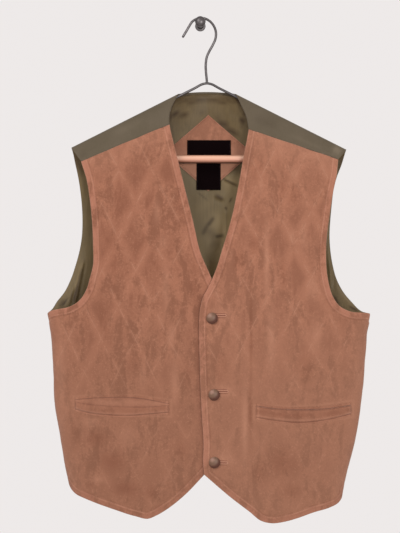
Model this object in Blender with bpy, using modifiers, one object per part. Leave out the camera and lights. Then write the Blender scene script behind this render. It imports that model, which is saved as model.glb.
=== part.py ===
"""Quilted suede vest, buttoned up on a wire hanger that hangs from a round wall peg.

The cloth is drawn in the flat of its pattern: q runs round the body from the centre line and
z is the height. Level cuts of the torso are half ellipses, so a pattern point is wrapped onto
its cut, and near the shoulders the cloth folds over the hanger in a narrow round nose. Each
piece is a closed wall between an outer and an inner face, with a small gap at every seam.

The garment is drawn about the hanger: x from its shank, y from its plane with the front at
-y, z from the peg's axis. An empty carries it all to the peg's place on the wall.
"""
import math

import bmesh
import bpy
import numpy as np
from mathutils.geometry import delaunay_2d_cdt

# Cloth thicknesses and gaps, metres
SUEDE_WALL = 0.0025
BACK_WALL = 0.0012
LINING_WALL = 0.0010
PATCH_WALL = 0.0012
LABEL_WALL = 0.0010
WELT_WALL = 0.0026
SEAM = 0.0003
PATCH_GAP = 0.0007
WELT_GAP = 0.0006
LAP_STEP = SUEDE_WALL + 0.0005

# Shoulder line and neck
NECK_HALF = 0.046
NECK_POINT_Z = -0.115
SHOULDER_SLOPE = 0.503
SHOULDER_TIPS = {-1: 0.2165, 1: 0.2225}
NECK_DIP = 0.0035
NOSE_RADIUS = 0.004
NOSE_SPREAD = 0.20
NECK_BULGE = 0.018

# Heights of the underarm and of the middle of the back's hem
UNDERARM = -0.4657
BACK_HEM = -0.715

# Quilting and the turned edge
DIAMOND_WIDTH = 0.054
DIAMOND_HEIGHT = 0.106
PUFF = 0.0020
BAND = 0.011
BAND_RISE = 0.0005
BAND_LINES = (0.0103, 0.0125)

# Buttons, hanger and peg
BUTTON_RADIUS = 0.009
WIRE = 0.002
BAR_RADIUS = 0.00625
BAR_HALF = 0.190
BAR_Z = -0.2188
PEG_X = -0.0105
PEG_STEM = 0.004
PEG_HEAD = 0.0086
WALL_Y = 0.055

# Level cuts: height, half width on the wearer's right and left, depth in front and behind
SECTIONS = np.array((
    (-0.100, 0.2620, 0.2620, 0.036, 0.036),
    (-0.200, 0.2620, 0.2620, 0.039, 0.037),
    (-0.300, 0.2620, 0.2620, 0.042, 0.039),
    (-0.400, 0.2620, 0.2630, 0.044, 0.040),
    (UNDERARM, 0.2545, 0.2603, 0.045, 0.040),
    (-0.500, 0.2475, 0.2545, 0.045, 0.039),
    (-0.540, 0.2455, 0.2520, 0.045, 0.038),
    (-0.603, 0.2425, 0.2460, 0.044, 0.036),
    (-0.667, 0.2330, 0.2365, 0.042, 0.034),
    (-0.731, 0.2215, 0.2200, 0.040, 0.032),
    (-0.760, 0.2150, 0.2150, 0.039, 0.031),
    (-0.800, 0.2100, 0.2100, 0.038, 0.030),
))

# Soft upright folds: side (-1 front, 1 back), x, top, bottom, half width, height
FOLDS = (
    (-1, -0.074, -0.230, -0.520, 0.012, 0.0025),
    (-1, -0.055, -0.570, -0.670, 0.012, 0.0020),
    (-1, -0.174, -0.430, -0.510, 0.009, 0.0015),
    (-1, 0.097, -0.270, -0.520, 0.014, 0.0030),
    (-1, 0.066, -0.570, -0.680, 0.012, 0.0020),
    (1, -0.125, -0.300, -0.700, 0.030, 0.0030),
    (1, -0.035, -0.360, -0.700, 0.028, 0.0025),
    (1, 0.060, -0.290, -0.700, 0.030, 0.0030),
    (1, 0.150, -0.400, -0.720, 0.026, 0.0030),
)

# Outlines as x, z. Armholes run from the yoke seam down, edges from the yoke down to the hem,
# hems from the side seam to the centre.
RIGHT_SEAM = ((-0.2000, -0.2236), (-0.0596, -0.1650))
RIGHT_ARMHOLE = (
    (-0.2000, -0.2236), (-0.1908, -0.2530), (-0.1860, -0.2820), (-0.1823, -0.3149),
    (-0.1803, -0.3604), (-0.1803, -0.3876), (-0.1850, -0.4076), (-0.1912, -0.4275),
    (-0.2024, -0.4441), (-0.2185, -0.4540), (-0.2370, -0.4585), (-0.2487, -0.4625),
)
RIGHT_EDGE = (
    (-0.0596, -0.1650), (-0.0579, -0.1735), (-0.0529, -0.1944), (-0.0443, -0.2289),
    (-0.0345, -0.2686), (-0.0224, -0.3169), (-0.0088, -0.3722), (0.0030, -0.3989),
    (0.0085, -0.4120), (0.0180, -0.4340), (0.0255, -0.4600), (0.0280, -0.5000),
    (0.0280, -0.6000), (0.0283, -0.6870),
)
RIGHT_HEM = (
    (-0.2200, -0.7374), (-0.2169, -0.7444), (-0.2080, -0.7528), (-0.1949, -0.7583),
    (-0.1708, -0.7670), (-0.1476, -0.7745), (-0.1122, -0.7850), (-0.0930, -0.7885),
    (-0.0798, -0.7832), (-0.0629, -0.7730), (-0.0347, -0.7502), (-0.0111, -0.7258),
    (-0.0048, -0.7189), (0.0283, -0.6870),
)
LEFT_SEAM = ((0.2088, -0.2204), (0.0662, -0.1728))
LEFT_ARMHOLE = (
    (0.2088, -0.2204), (0.2057, -0.2463), (0.2005, -0.2706), (0.1964, -0.2949),
    (0.1928, -0.3192), (0.1898, -0.3434), (0.1884, -0.3718), (0.1898, -0.4001),
    (0.1934, -0.4202), (0.1996, -0.4385), (0.2100, -0.4527), (0.2266, -0.4620),
    (0.2433, -0.4652),
)
LEFT_EDGE = (
    (0.0662, -0.1728), (0.0650, -0.1800), (0.0580, -0.2156), (0.0495, -0.2633),
    (0.0378, -0.3169), (0.0236, -0.3643), (0.0138, -0.3958), (0.0000, -0.4265),
    (-0.0063, -0.4382), (-0.0114, -0.4587), (-0.0126, -0.4901), (-0.0118, -0.5373),
    (-0.0103, -0.5845), (-0.0079, -0.6316), (-0.0056, -0.6709), (-0.0063, -0.6976),
    (-0.0046, -0.7180),
)
LEFT_HEM = (
    (0.2177, -0.7466), (0.2158, -0.7560), (0.2109, -0.7650), (0.1950, -0.7732),
    (0.1723, -0.7790), (0.1382, -0.7900), (0.1198, -0.7943), (0.1024, -0.7958),
    (0.0850, -0.7915), (0.0677, -0.7776), (0.0519, -0.7654), (0.0346, -0.7518),
    (0.0189, -0.7384), (-0.0046, -0.7180),
)
RIGHT_BACK_ARMHOLE = (
    (-0.2145, -0.2080), (-0.2110, -0.2260), (-0.2068, -0.2460), (-0.2034, -0.2680),
    (-0.2011, -0.2910), (-0.2001, -0.3140), (-0.2012, -0.3430), (-0.2048, -0.3650),
    (-0.2110, -0.3880), (-0.2187, -0.4110), (-0.2298, -0.4330), (-0.2400, -0.4460),
    (-0.2490, -0.4560),
)
LEFT_BACK_ARMHOLE = (
    (0.2205, -0.2110), (0.2160, -0.2270), (0.2088, -0.2460), (0.2035, -0.2680),
    (0.2008, -0.2910), (0.1987, -0.3140), (0.1974, -0.3430), (0.1988, -0.3650),
    (0.2024, -0.3880), (0.2088, -0.4110), (0.2205, -0.4330), (0.2322, -0.4460),
    (0.2475, -0.4575),
)
RIGHT_YOKE_NECK = ((-0.0470, -0.1160), (-0.0560, -0.1350), (-0.0600, -0.1520), (-0.0596, -0.1650))
LEFT_YOKE_NECK = ((0.0470, -0.1160), (0.0540, -0.1310), (0.0625, -0.1510), (0.0662, -0.1728))

FRONTS = {
    "front_right": {"side": -1, "armhole": RIGHT_ARMHOLE, "edge": RIGHT_EDGE,
                    "hem": RIGHT_HEM, "quilt": (-0.140, -0.345)},
    "front_left": {"side": 1, "armhole": LEFT_ARMHOLE, "edge": LEFT_EDGE,
                   "hem": LEFT_HEM, "quilt": (0.138, -0.250)},
}

# Pocket welts: x, top z, bottom z, from the outer end to the inner end
WELTS = {
    "welt_right": ((-0.2080, -0.5990, -0.6135), (-0.1700, -0.5975, -0.6180),
                   (-0.1200, -0.5965, -0.6214), (-0.0600, -0.6030, -0.6230)),
    "welt_left": ((0.2286, -0.6070, -0.6261), (0.1800, -0.6120, -0.6330),
                  (0.1300, -0.6150, -0.6356), (0.0773, -0.6120, -0.6277)),
}

# Button centres, x and z
BUTTONS = {
    "button_top": (0.0080, -0.4717),
    "button_middle": (0.0113, -0.5920),
    "button_bottom": (0.0119, -0.6986),
}

# Neck patch, a diamond: centre x, centre z, half width, half height
PATCH = (0.0025, -0.2074, 0.0717, 0.0614)

# Labels: left, right, top, bottom
LABELS = {
    "main_label": (-0.0323, 0.0392, -0.1868, -0.2184),
    "size_label": (-0.0169, 0.0225, -0.2190, -0.2668),
}

# Distances of the first columns from a side seam or an armhole
FINE_STEPS = (0.0, 0.003, 0.007, 0.0115, 0.018, 0.028)

# Steps along the outline of a front, and the room that its edges keep from the quilting
EDGE_STEP = 0.014
SIDE_STEP = 0.022
EDGE_ROOM = 0.0045

# Cells of the grids
BACK_COLUMNS = 6
NECK_COLUMNS = 6
BACK_TOP_STEPS = (0.0, 0.0006, 0.0025, 0.006, 0.012, 0.022, 0.036, 0.055, 0.078)
BACK_ARM_ROWS = 8
BACK_SIDE_ROWS = 8
YOKE_STEPS = (0.0, 0.015, 0.06, 0.14, 0.28, 0.5, 0.75, 1.0)
LINING_TOP_ROW = 4
LINING_INSET = 2

# Hook wire, x and z, from the end near the arms up and over the peg
HOOK = (
    (-0.0016, -0.0648), (-0.0002, -0.0561), (0.0027, -0.0491), (0.0097, -0.0362),
    (0.0134, -0.0277), (0.0145, -0.0206), (0.0134, -0.0121), (0.0090, -0.0035),
    (0.0041, 0.0015), (-0.0016, 0.0048), (-0.0095, 0.0063), (-0.0173, 0.0043),
    (-0.0230, 0.0008), (-0.0280, -0.0064), (-0.0316, -0.0127), (-0.0380, -0.0234),
)
HOOK_POINTS = 34

# One arm of the hanger, x and z, from near the shank to the end of the bar
ARM_TOP = -0.0960
ARM_BEND = ((0.1925, -0.1929), (0.1985, -0.1968), (0.2015, -0.2012), (0.2025, -0.2065),
            (0.2018, -0.2122), (0.1992, -0.2164), (0.1952, -0.2184))

# Linear colour, roughness and metallic value of each finish
FINISHES = {
    "suede": ((0.365, 0.165, 0.105), 0.92, 0.0),
    "suede_edge": ((0.440, 0.205, 0.135), 0.88, 0.0),
    "back_cloth": ((0.128, 0.104, 0.075), 0.75, 0.0),
    "satin": ((0.160, 0.118, 0.062), 0.42, 0.0),
    "woven_black": ((0.010, 0.006, 0.006), 0.70, 0.0),
    "button_bronze": ((0.150, 0.075, 0.042), 0.42, 0.85),
    "wire_grey": ((0.155, 0.140, 0.140), 0.35, 0.75),
    "bar_copper": ((0.720, 0.300, 0.200), 0.40, 0.15),
}


def ramp(value):
    """Smooth step: 0 below 0, 1 above 1."""
    share = np.clip(value, 0.0, 1.0)
    return share * share * (3.0 - 2.0 * share)


def smooth(xs, ys, x):
    """Cubic pieces through the points of a table whose xs rise, with averaged slopes."""
    slope = np.gradient(ys, xs)
    i = np.clip(np.searchsorted(xs, x, side="right") - 1, 0, len(xs) - 2)
    width = xs[i + 1] - xs[i]
    s = np.clip((x - xs[i]) / width, 0.0, 1.0)
    start = (2.0 * s**3 - 3.0 * s**2 + 1.0) * ys[i] + (s**3 - 2.0 * s**2 + s) * width * slope[i]
    end = (3.0 * s**2 - 2.0 * s**3) * ys[i + 1] + (s**3 - s**2) * width * slope[i + 1]
    return start + end


def trace(points, steps=500):
    """Dense smooth line through the points: its two coordinates and the length run so far."""
    points = np.array(points)
    chord = np.concatenate(([0.0], np.cumsum(np.hypot(*np.diff(points, axis=0).T))))
    along = np.linspace(0.0, chord[-1], steps)
    first = smooth(chord, points[:, 0], along)
    second = smooth(chord, points[:, 1], along)
    run = np.concatenate(([0.0], np.cumsum(np.hypot(np.diff(first), np.diff(second)))))
    return first, second, run


def at_share(line, share):
    """Point of a traced line at a share of its length."""
    first, second, run = line
    place = np.asarray(share) * run[-1]
    return np.interp(place, run, first), np.interp(place, run, second)


def section(z, column):
    """One column of the table of level cuts, at height z."""
    return smooth(SECTIONS[::-1, 0], SECTIONS[::-1, column], z)


def half_width(phi, z):
    """Half width of the cut at z, on the side that the angle phi lies on."""
    return np.where(phi < 0.0, section(z, 1), section(z, 2))


# Length of a unit half ellipse of depth SQUASH from its middle to the angle phi
SQUASH = 0.17
ANGLES = np.linspace(0.0, math.pi / 2.0, 721)
ARC_RATE = np.sqrt(np.cos(ANGLES)**2 + (SQUASH * np.sin(ANGLES))**2)
ARC = np.concatenate(([0.0], np.cumsum((ARC_RATE[1:] + ARC_RATE[:-1]) / 2.0 * np.diff(ANGLES))))


def phi_of_x(x, z):
    """Angle on the cut at z for a width x."""
    return np.arcsin(np.clip(x / half_width(x, z), -1.0, 1.0))


def q_of_x(x, z):
    """Pattern coordinate of a width x at height z."""
    x = np.asarray(x, dtype=float)
    phi = phi_of_x(x, z)
    return np.sign(x) * half_width(x, z) * np.interp(np.abs(phi), ANGLES, ARC)


def phi_of_q(q, z):
    """Angle on the cut at z for a pattern coordinate."""
    return np.sign(q) * np.interp(np.abs(q) / half_width(q, z), ARC, ANGLES)


def ridge(x):
    """Height of the shoulder line at x."""
    return NECK_POINT_Z - SHOULDER_SLOPE * (np.abs(x) - NECK_HALF)


def folds(x, z, side):
    """Height of the soft upright folds on one side of the garment."""
    total = np.zeros(np.broadcast(x, z).shape)
    for fold_side, middle, top, bottom, half, height in FOLDS:
        if fold_side == side:
            run = 0.35 * (top - bottom)
            window = ramp((top - z) / run) * ramp((z - bottom) / run)
            total = total + height * window * np.exp(-((x - middle) / half)**2)
    return total


def lap(x, z):
    """How far the left front stands out where it lies over the right one."""
    return LAP_STEP * ramp((0.078 - x) / 0.044) * ramp((-0.30 - z) / 0.08)


def place(phi, z, side, over):
    """Point of the plain outer face: the cut's ellipse, closed over the shoulders by the nose."""
    width = half_width(phi, z)
    x = width * np.sin(phi)
    full = section(z, 3 if side < 0 else 4) * np.maximum(np.cos(phi), 0.0)
    below = np.maximum(ridge(x) - z, 0.0)
    nose = np.sqrt(2.0 * NOSE_RADIUS * below + (NOSE_SPREAD * below)**2)
    if side > 0:
        swell = np.exp(-(x / 0.04)**2) * np.exp(-((below - 0.02) / 0.12)**2)
        nose = nose + NECK_BULGE * swell * ramp(below / 0.008)
    depth = nose * full / np.cbrt(nose**3 + full**3)
    y = side * (depth + 0.5 * SEAM * (np.abs(x) / width)**8 + folds(x, z, side))
    if over:
        y = y - lap(x, z)
    return np.stack((x, y, z + 0.0 * x), axis=-1)


def face(phi, z, side, over=False):
    """Points of the plain outer face and their outward unit normals."""
    phi, z = np.broadcast_arrays(np.asarray(phi, dtype=float), np.asarray(z, dtype=float))
    turn = 1e-3
    lift = 1e-4
    quarter = math.pi / 2.0
    round_way = (place(np.clip(phi + turn, -quarter, quarter), z, side, over)
                 - place(np.clip(phi - turn, -quarter, quarter), z, side, over))
    up_way = place(phi, z + lift, side, over) - place(phi, z - lift, side, over)
    normal = -side * np.cross(round_way, up_way)
    points = place(phi, z, side, over)
    top = ridge(points[..., 0]) - z < 1e-6
    roof = np.stack((SHOULDER_SLOPE * np.sign(phi), 0.0 * phi, 1.0 + 0.0 * phi), axis=-1)
    normal = np.where(top[..., None], roof, normal)
    return points, normal / np.linalg.norm(normal, axis=-1, keepdims=True)


def outlines(name):
    """Outline of a front as traced lines of q and z, in order round the panel."""
    panel = FRONTS[name]
    corner = (panel["side"] * float(half_width(panel["side"], UNDERARM)), UNDERARM)
    armhole = np.array(panel["armhole"] + (corner,))
    edge = np.array(panel["edge"])[::-1]
    hem = np.array(panel["hem"])
    hem[0, 0] = panel["side"] * float(half_width(panel["side"], hem[0, 1]))
    lines = {}
    for label, points in (("hem", hem), ("edge", edge), ("armhole", armhole)):
        lines[label] = np.column_stack((q_of_x(points[:, 0], points[:, 1]), points[:, 1]))
    heights = np.linspace(UNDERARM, hem[0, 1], 12)
    side_q = panel["side"] * half_width(panel["side"], heights) * ARC[-1]
    lines["side"] = np.column_stack((side_q, heights))
    lines["yoke"] = np.vstack((lines["edge"][-1], lines["armhole"][0]))
    return {label: trace(points) for label, points in lines.items()}


def spread(line, step):
    """Even points along a traced line, its last one left to the next line."""
    count = max(2, round(line[2][-1] / step))
    return np.column_stack(at_share(line, np.arange(count) / count))


def distance(points, lines):
    """Distance in the pattern from each point to the nearest of some traced lines."""
    target = np.concatenate([np.column_stack(line[:2]) for line in lines])
    return np.hypot(*(points[:, None, :] - target[None, :, :]).transpose(2, 0, 1)).min(axis=1)


def within(points, ring):
    """True for the points inside a closed ring."""
    after = np.roll(ring, -1, axis=0)
    q, z = points[:, :1], points[:, 1:]
    across = (ring[:, 1] > z) != (after[:, 1] > z)
    rise = np.where(across, after[:, 1] - ring[:, 1], 1.0)
    reach = ring[:, 0] + (z - ring[:, 1]) * (after[:, 0] - ring[:, 0]) / rise
    return (across & (q < reach)).sum(axis=1) % 2 == 1


def band_points(lines, ring):
    """Points on two lines inside the turned edges, which give the band its step."""
    found = []
    for label in ("hem", "edge", "armhole"):
        points = spread(lines[label], EDGE_STEP)
        along = np.gradient(points, axis=0)
        square = along[:, ::-1] * (-1.0, 1.0) / np.hypot(along[:, :1], along[:, 1:])
        for away in BAND_LINES:
            for way in (-1.0, 1.0):
                moved = points + way * away * square
                clear = distance(moved, banded(lines)) > away - 0.0004
                clear &= distance(moved, (lines["yoke"], lines["side"])) > EDGE_ROOM
                found.append(moved[clear & within(moved, ring)])
    return np.concatenate(found)


def banded(lines):
    """The lines that carry a turned and stitched edge."""
    return [lines[label] for label in ("hem", "edge", "armhole")]


def side_points(lines, ring):
    """Upright rows of points beside the side seam, where the cloth turns to the back."""
    edge = spread(lines["side"], SIDE_STEP)[1:]
    inward = -np.sign(edge[:, :1])
    rows = [np.column_stack((edge[:, :1] + inward * away, edge[:, 1])) for away in FINE_STEPS[1:]]
    points = np.concatenate(rows)
    return points[(distance(points, banded(lines)) > BAND_LINES[-1] + EDGE_ROOM) & within(points, ring)]


def quilt_points(name, lines, ring):
    """Quarter points of the diamonds inside the bands, and the stitched lines through them."""
    middle_q, middle_z = FRONTS[name]["quilt"]
    low = ring.min(axis=0)
    high = ring.max(axis=0)
    step = (DIAMOND_WIDTH / 4.0, DIAMOND_HEIGHT / 4.0)
    first = [math.floor((low[k] - (middle_q, middle_z)[k]) / step[k]) for k in (0, 1)]
    last = [math.ceil((high[k] - (middle_q, middle_z)[k]) / step[k]) for k in (0, 1)]
    i, j = np.meshgrid(np.arange(first[0], last[0]), np.arange(first[1], last[1]), indexing="ij")
    points = np.column_stack((middle_q + i.ravel() * step[0], middle_z + j.ravel() * step[1]))
    keep = distance(points, banded(lines)) > BAND_LINES[-1] + EDGE_ROOM
    keep &= distance(points, (lines["yoke"],)) > EDGE_ROOM
    keep &= distance(points, (lines["side"],)) > FINE_STEPS[-1] + EDGE_ROOM
    keep &= within(points, ring)
    number = np.where(keep, np.cumsum(keep) - 1, -1).reshape(i.shape)
    seams = []
    for turn, start, end in ((-1, number[:-1, :-1], number[1:, 1:]),
                             (1, number[:-1, 1:], number[1:, :-1])):
        level = j[:-1, :-1] if turn < 0 else j[:-1, 1:]
        stitched = ((i[:-1, :-1] + turn * level) % 4 == 0) & (start >= 0) & (end >= 0)
        seams.append(np.column_stack((start[stitched], end[stitched])))
    return points[keep], np.concatenate(seams)


def front_cells(name, lines):
    """Pattern points of a front and the triangles between them, with the stitching as edges."""
    order = (("hem", EDGE_STEP), ("edge", EDGE_STEP), ("yoke", EDGE_STEP),
             ("armhole", EDGE_STEP * 0.75), ("side", SIDE_STEP))
    ring = np.concatenate([spread(lines[label], step) for label, step in order])
    quilt, seams = quilt_points(name, lines, ring)
    points = np.concatenate((ring, band_points(lines, ring), side_points(lines, ring), quilt))
    count = len(ring)
    edges = [(k, (k + 1) % count) for k in range(count)]
    edges += (seams + len(points) - len(quilt)).tolist()
    made = delaunay_2d_cdt(points.tolist(), edges, [], 1, 1e-7)
    flat = np.array([tuple(point) for point in made[0]])
    cells = np.array(made[2])
    turn = np.cross(flat[cells[:, 1]] - flat[cells[:, 0]], flat[cells[:, 2]] - flat[cells[:, 0]])
    cells[turn < 0.0] = cells[turn < 0.0][:, ::-1]
    return flat[:, 0], flat[:, 1], cells


def clear_of_trim(x, z, side):
    """0 beside a welt or a button, 1 away from them."""
    keep = np.ones(x.shape)
    for name, rows in WELTS.items():
        rows = np.array(rows)
        if np.sign(rows[0, 0]) == side:
            order = np.argsort(rows[:, 0])
            across = np.maximum(rows[order[0], 0] - x, x - rows[order[-1], 0])
            above = z - np.interp(x, rows[order, 0], rows[order, 1])
            under = np.interp(x, rows[order, 0], rows[order, 2]) - z
            keep = keep * ramp((np.maximum(across, np.maximum(above, under)) - 0.014) / 0.012)
    for middle, height in BUTTONS.values():
        keep = keep * ramp((np.hypot(x - middle, z - height) - 0.018) / 0.012)
    return keep


def relief(name, q, x, z, lines):
    """Quilted diamonds between stitched lines, and the turned edge, above the plain face."""
    panel = FRONTS[name]
    a = (q - panel["quilt"][0]) / DIAMOND_WIDTH
    b = (z - panel["quilt"][1]) / DIAMOND_HEIGHT
    diamonds = PUFF * np.sqrt(np.abs(np.sin(math.pi * (a + b)) * np.sin(math.pi * (a - b))))
    away = distance(np.column_stack((q, z)), banded(lines))
    height = diamonds * ramp((away - BAND) / 0.004) * clear_of_trim(x, z, panel["side"])
    height = height + BAND_RISE * (1.0 - ramp((away - BAND) / 0.001))
    if panel["side"] < 0:
        height = height * (1.0 - ramp((x + 0.030) / 0.012) * ramp((-0.41 - z) / 0.02))
    return height


def grid_cells(numbers):
    """The two triangles of every cell of a grid of vertex numbers."""
    low = np.stack((numbers[:-1, :-1], numbers[:-1, 1:], numbers[1:, 1:]), axis=-1)
    high = np.stack((numbers[:-1, :-1], numbers[1:, 1:], numbers[1:, :-1]), axis=-1)
    return np.concatenate((low.reshape(-1, 3), high.reshape(-1, 3)))


def finish(name):
    """Principled material of one finish."""
    colour, roughness, metallic = FINISHES[name]
    material = bpy.data.materials.get(name)
    if material is None:
        material = bpy.data.materials.new(name)
        material.use_nodes = True
        shader = material.node_tree.nodes["Principled BSDF"]
        shader.inputs["Base Color"].default_value = (*colour, 1.0)
        shader.inputs["Roughness"].default_value = roughness
        shader.inputs["Metallic"].default_value = metallic
        material.diffuse_color = (*colour, 1.0)
    return material


def add(name, data, finish_name):
    """New object of the part, under the empty that carries it."""
    thing = bpy.data.objects.new(name, data)
    thing.data.materials.append(finish(finish_name))
    COLLECTION.objects.link(thing)
    thing.parent = CARRIER
    return thing


def wall(name, outer, inner, cells, finish_name):
    """Closed wall: both faces of the same triangles, and a rim along every free edge."""
    count = len(outer)
    edges = np.concatenate([cells[:, [i, (i + 1) % 3]] for i in range(3)])
    present = {tuple(edge) for edge in edges.tolist()}
    rim = [(b, a, a + count, b + count) for a, b in present if (b, a) not in present]
    faces = cells.tolist() + (cells[:, ::-1] + count).tolist() + sorted(rim)
    mesh = bpy.data.meshes.new(name)
    mesh.from_pydata(np.concatenate((outer, inner)).tolist(), [], faces)
    work = bmesh.new()
    work.from_mesh(mesh)
    bmesh.ops.recalc_face_normals(work, faces=work.faces)
    work.to_mesh(mesh)
    work.free()
    mesh.shade_smooth()
    mesh.set_sharp_from_angle(angle=math.radians(50.0))
    return add(name, mesh, finish_name)


def front(name):
    """A suede front: quilted outer face over a plain inner one."""
    lines = outlines(name)
    q, z, cells = front_cells(name, lines)
    points, normals = face(phi_of_q(q, z), z, -1, over=FRONTS[name]["side"] > 0)
    raised = relief(name, q, points[:, 0], z, lines)[:, None]
    wall(name, points + raised * normals, points - SUEDE_WALL * normals, cells, "suede")


def back_top(x):
    """Height of the back's top line: the shoulder line, and the neck between its points."""
    return np.where(np.abs(x) < NECK_HALF, NECK_POINT_Z + NECK_DIP * (1.0 - (x / NECK_HALF)**2),
                    ridge(x))


def back_edge(side):
    """Outer edge of the back on one side, from the hem up: q and z of each row."""
    hem = LEFT_HEM[0][1] if side > 0 else RIGHT_HEM[0][1]
    low = np.linspace(hem, UNDERARM, BACK_SIDE_ROWS + 1)[:-1]
    corner = (side * float(half_width(side, UNDERARM)), UNDERARM)
    tip = side * SHOULDER_TIPS[side]
    armhole = LEFT_BACK_ARMHOLE if side > 0 else RIGHT_BACK_ARMHOLE
    points = np.array(((tip, float(ridge(tip))),) + armhole + (corner,))
    line = trace(np.column_stack((q_of_x(points[:, 0], points[:, 1]), points[:, 1])))
    rest = np.linspace(BACK_TOP_STEPS[-1], line[2][-1], BACK_ARM_ROWS + 1)[1:]
    run = np.concatenate((BACK_TOP_STEPS, rest))[::-1]
    q = np.concatenate((side * half_width(side, low) * ARC[-1], np.interp(run, line[2], line[0])))
    return q, np.concatenate((low, np.interp(run, line[2], line[1])))


def back_grid():
    """Pattern points of the back: rows from the hem up, columns from the wearer's right."""
    right_q, right_z = back_edge(-1)
    left_q, left_z = back_edge(1)
    fine = np.array(FINE_STEPS)
    neck_q = float(q_of_x(NECK_HALF, NECK_POINT_Z))
    first = float(right_q[-1]) + FINE_STEPS[-1]
    last = float(left_q[-1]) - FINE_STEPS[-1]
    inside = np.concatenate((np.linspace(first, -neck_q, BACK_COLUMNS + 1)[1:],
                             np.linspace(-neck_q, neck_q, NECK_COLUMNS + 1)[1:-1],
                             np.linspace(neck_q, last, BACK_COLUMNS + 1)[:-1]))
    inside = (inside - first) / (last - first)
    start = (right_q[:, None] + fine)[:, -1:]
    end = (left_q[:, None] - fine)[:, -1:]
    q = np.concatenate((right_q[:, None] + fine, start + inside * (end - start),
                        left_q[:, None] - fine[::-1]), axis=1)
    share = (q - right_q[:, None]) / (left_q - right_q)[:, None]
    z = right_z[:, None] + share * (left_z - right_z)[:, None]
    rows = np.arange(len(right_q))
    below = 1.0 - ramp(rows / (BACK_SIDE_ROWS - 1.0))
    hem_arch = (BACK_HEM - z[0].mean()) * np.sin(math.pi * share[0])**0.8
    top_x = np.sin(phi_of_q(q[-1], z[-1])) * half_width(q[-1], z[-1])
    top_x[[6 + BACK_COLUMNS - 1, -7 - BACK_COLUMNS + 1]] = (-NECK_HALF, NECK_HALF)
    rise = back_top(top_x) - z[-1]
    above = ramp((rows - BACK_SIDE_ROWS) / (BACK_ARM_ROWS - 1.0))
    z = z + below[:, None] * hem_arch + above[:, None] * rise
    return q, z, top_x


def yoke_points(side, ridge_x):
    """Yoke over one shoulder: rows from the shoulder line to its seam on the front."""
    seam = RIGHT_SEAM if side < 0 else LEFT_SEAM
    neck = RIGHT_YOKE_NECK if side < 0 else LEFT_YOKE_NECK
    outer_end, inner_end = np.array(seam)
    tip = SHOULDER_TIPS[side]
    share = (np.abs(ridge_x) - tip) / (NECK_HALF - tip)
    down = np.array(YOKE_STEPS)[:, None]
    low_x = outer_end[0] + share * (inner_end[0] - outer_end[0])
    low_z = outer_end[1] + share * (inner_end[1] - outer_end[1]) + SEAM * 1.1
    x = ridge_x + down * (low_x - ridge_x)
    z = ridge(ridge_x) + down * (low_z - ridge(ridge_x))
    neck_x, neck_z, run = trace(((side * NECK_HALF, NECK_POINT_Z),) + neck[1:])
    bow = np.interp(down[:, 0] * run[-1], run, neck_x) - x[:, np.argmax(share)]
    x = x + bow[:, None] * share**4
    return x, z


def back():
    """Outer back with its two yokes, one wall that folds over the shoulders."""
    q, z, top_x = back_grid()
    phi = phi_of_q(q, z)
    phi[-1] = phi_of_x(top_x, z[-1])
    points, normals = face(phi, z, 1)
    outer = [points.reshape(-1, 3)]
    inner = [(points - BACK_WALL * normals).reshape(-1, 3)]
    numbers = np.arange(q.size).reshape(q.shape)
    cells = [grid_cells(numbers)]
    count = q.size
    columns = len(FINE_STEPS) + BACK_COLUMNS
    for side, chosen in ((-1, numbers[-1, :columns]), (1, numbers[-1, -columns:])):
        ridge_x = top_x[:columns] if side < 0 else top_x[-columns:]
        x, height = yoke_points(side, ridge_x)
        yoke, yoke_normals = face(phi_of_x(x[1:], height[1:]), height[1:], -1)
        outer.append(yoke.reshape(-1, 3))
        inner.append((yoke - BACK_WALL * yoke_normals).reshape(-1, 3))
        below = count + np.arange(yoke[..., 0].size).reshape(yoke.shape[:2])
        cells.append(grid_cells(np.vstack((chosen, below))))
        count += below.size
    wall("back", np.concatenate(outer), np.concatenate(inner), np.concatenate(cells), "back_cloth")


def lining():
    """Satin lining: the back's own points, moved in, clear of its edges and of the hanger."""
    q, z, _ = back_grid()
    keep = slice(LINING_INSET, -LINING_INSET)
    q = q[1:-LINING_TOP_ROW, keep]
    z = z[1:-LINING_TOP_ROW, keep]
    points, normals = face(phi_of_q(q, z), z, 1)
    near = BACK_WALL + SEAM
    outer = (points - near * normals).reshape(-1, 3)
    inner = (points - (near + LINING_WALL) * normals).reshape(-1, 3)
    wall("back_lining", outer, inner, grid_cells(np.arange(q.size).reshape(q.shape)), "satin")


def laid_on(name, x, z, side, near, far, finish_name, over=False):
    """Flat piece that follows a panel, between two distances from its plain outer face."""
    points, normals = face(phi_of_x(x, z), z, side, over)
    outer = (points + far * normals).reshape(-1, 3)
    inner = (points + near * normals).reshape(-1, 3)
    wall(name, outer, inner, grid_cells(np.arange(x.size).reshape(x.shape)), finish_name)


def patch_and_labels():
    """Suede diamond inside the back neck, with two blank woven labels on it."""
    middle_x, middle_z, half_wide, half_high = PATCH
    a, b = np.meshgrid(np.linspace(-1.0, 1.0, 9), np.linspace(-1.0, 1.0, 9))
    x = middle_x + half_wide * (a + b) / 2.0
    z = middle_z + half_high * (b - a) / 2.0
    on_lining = -(BACK_WALL + SEAM + LINING_WALL + PATCH_GAP)
    laid_on("neck_patch", x, z, 1, on_lining, on_lining - PATCH_WALL, "suede_edge")
    on_patch = on_lining - PATCH_WALL - SEAM
    for name, (left, right, top, bottom) in LABELS.items():
        x, z = np.meshgrid(np.linspace(left, right, 9), np.linspace(bottom, top, 6))
        laid_on(name, x, z, 1, on_patch, on_patch - LABEL_WALL, "woven_black")


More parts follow.
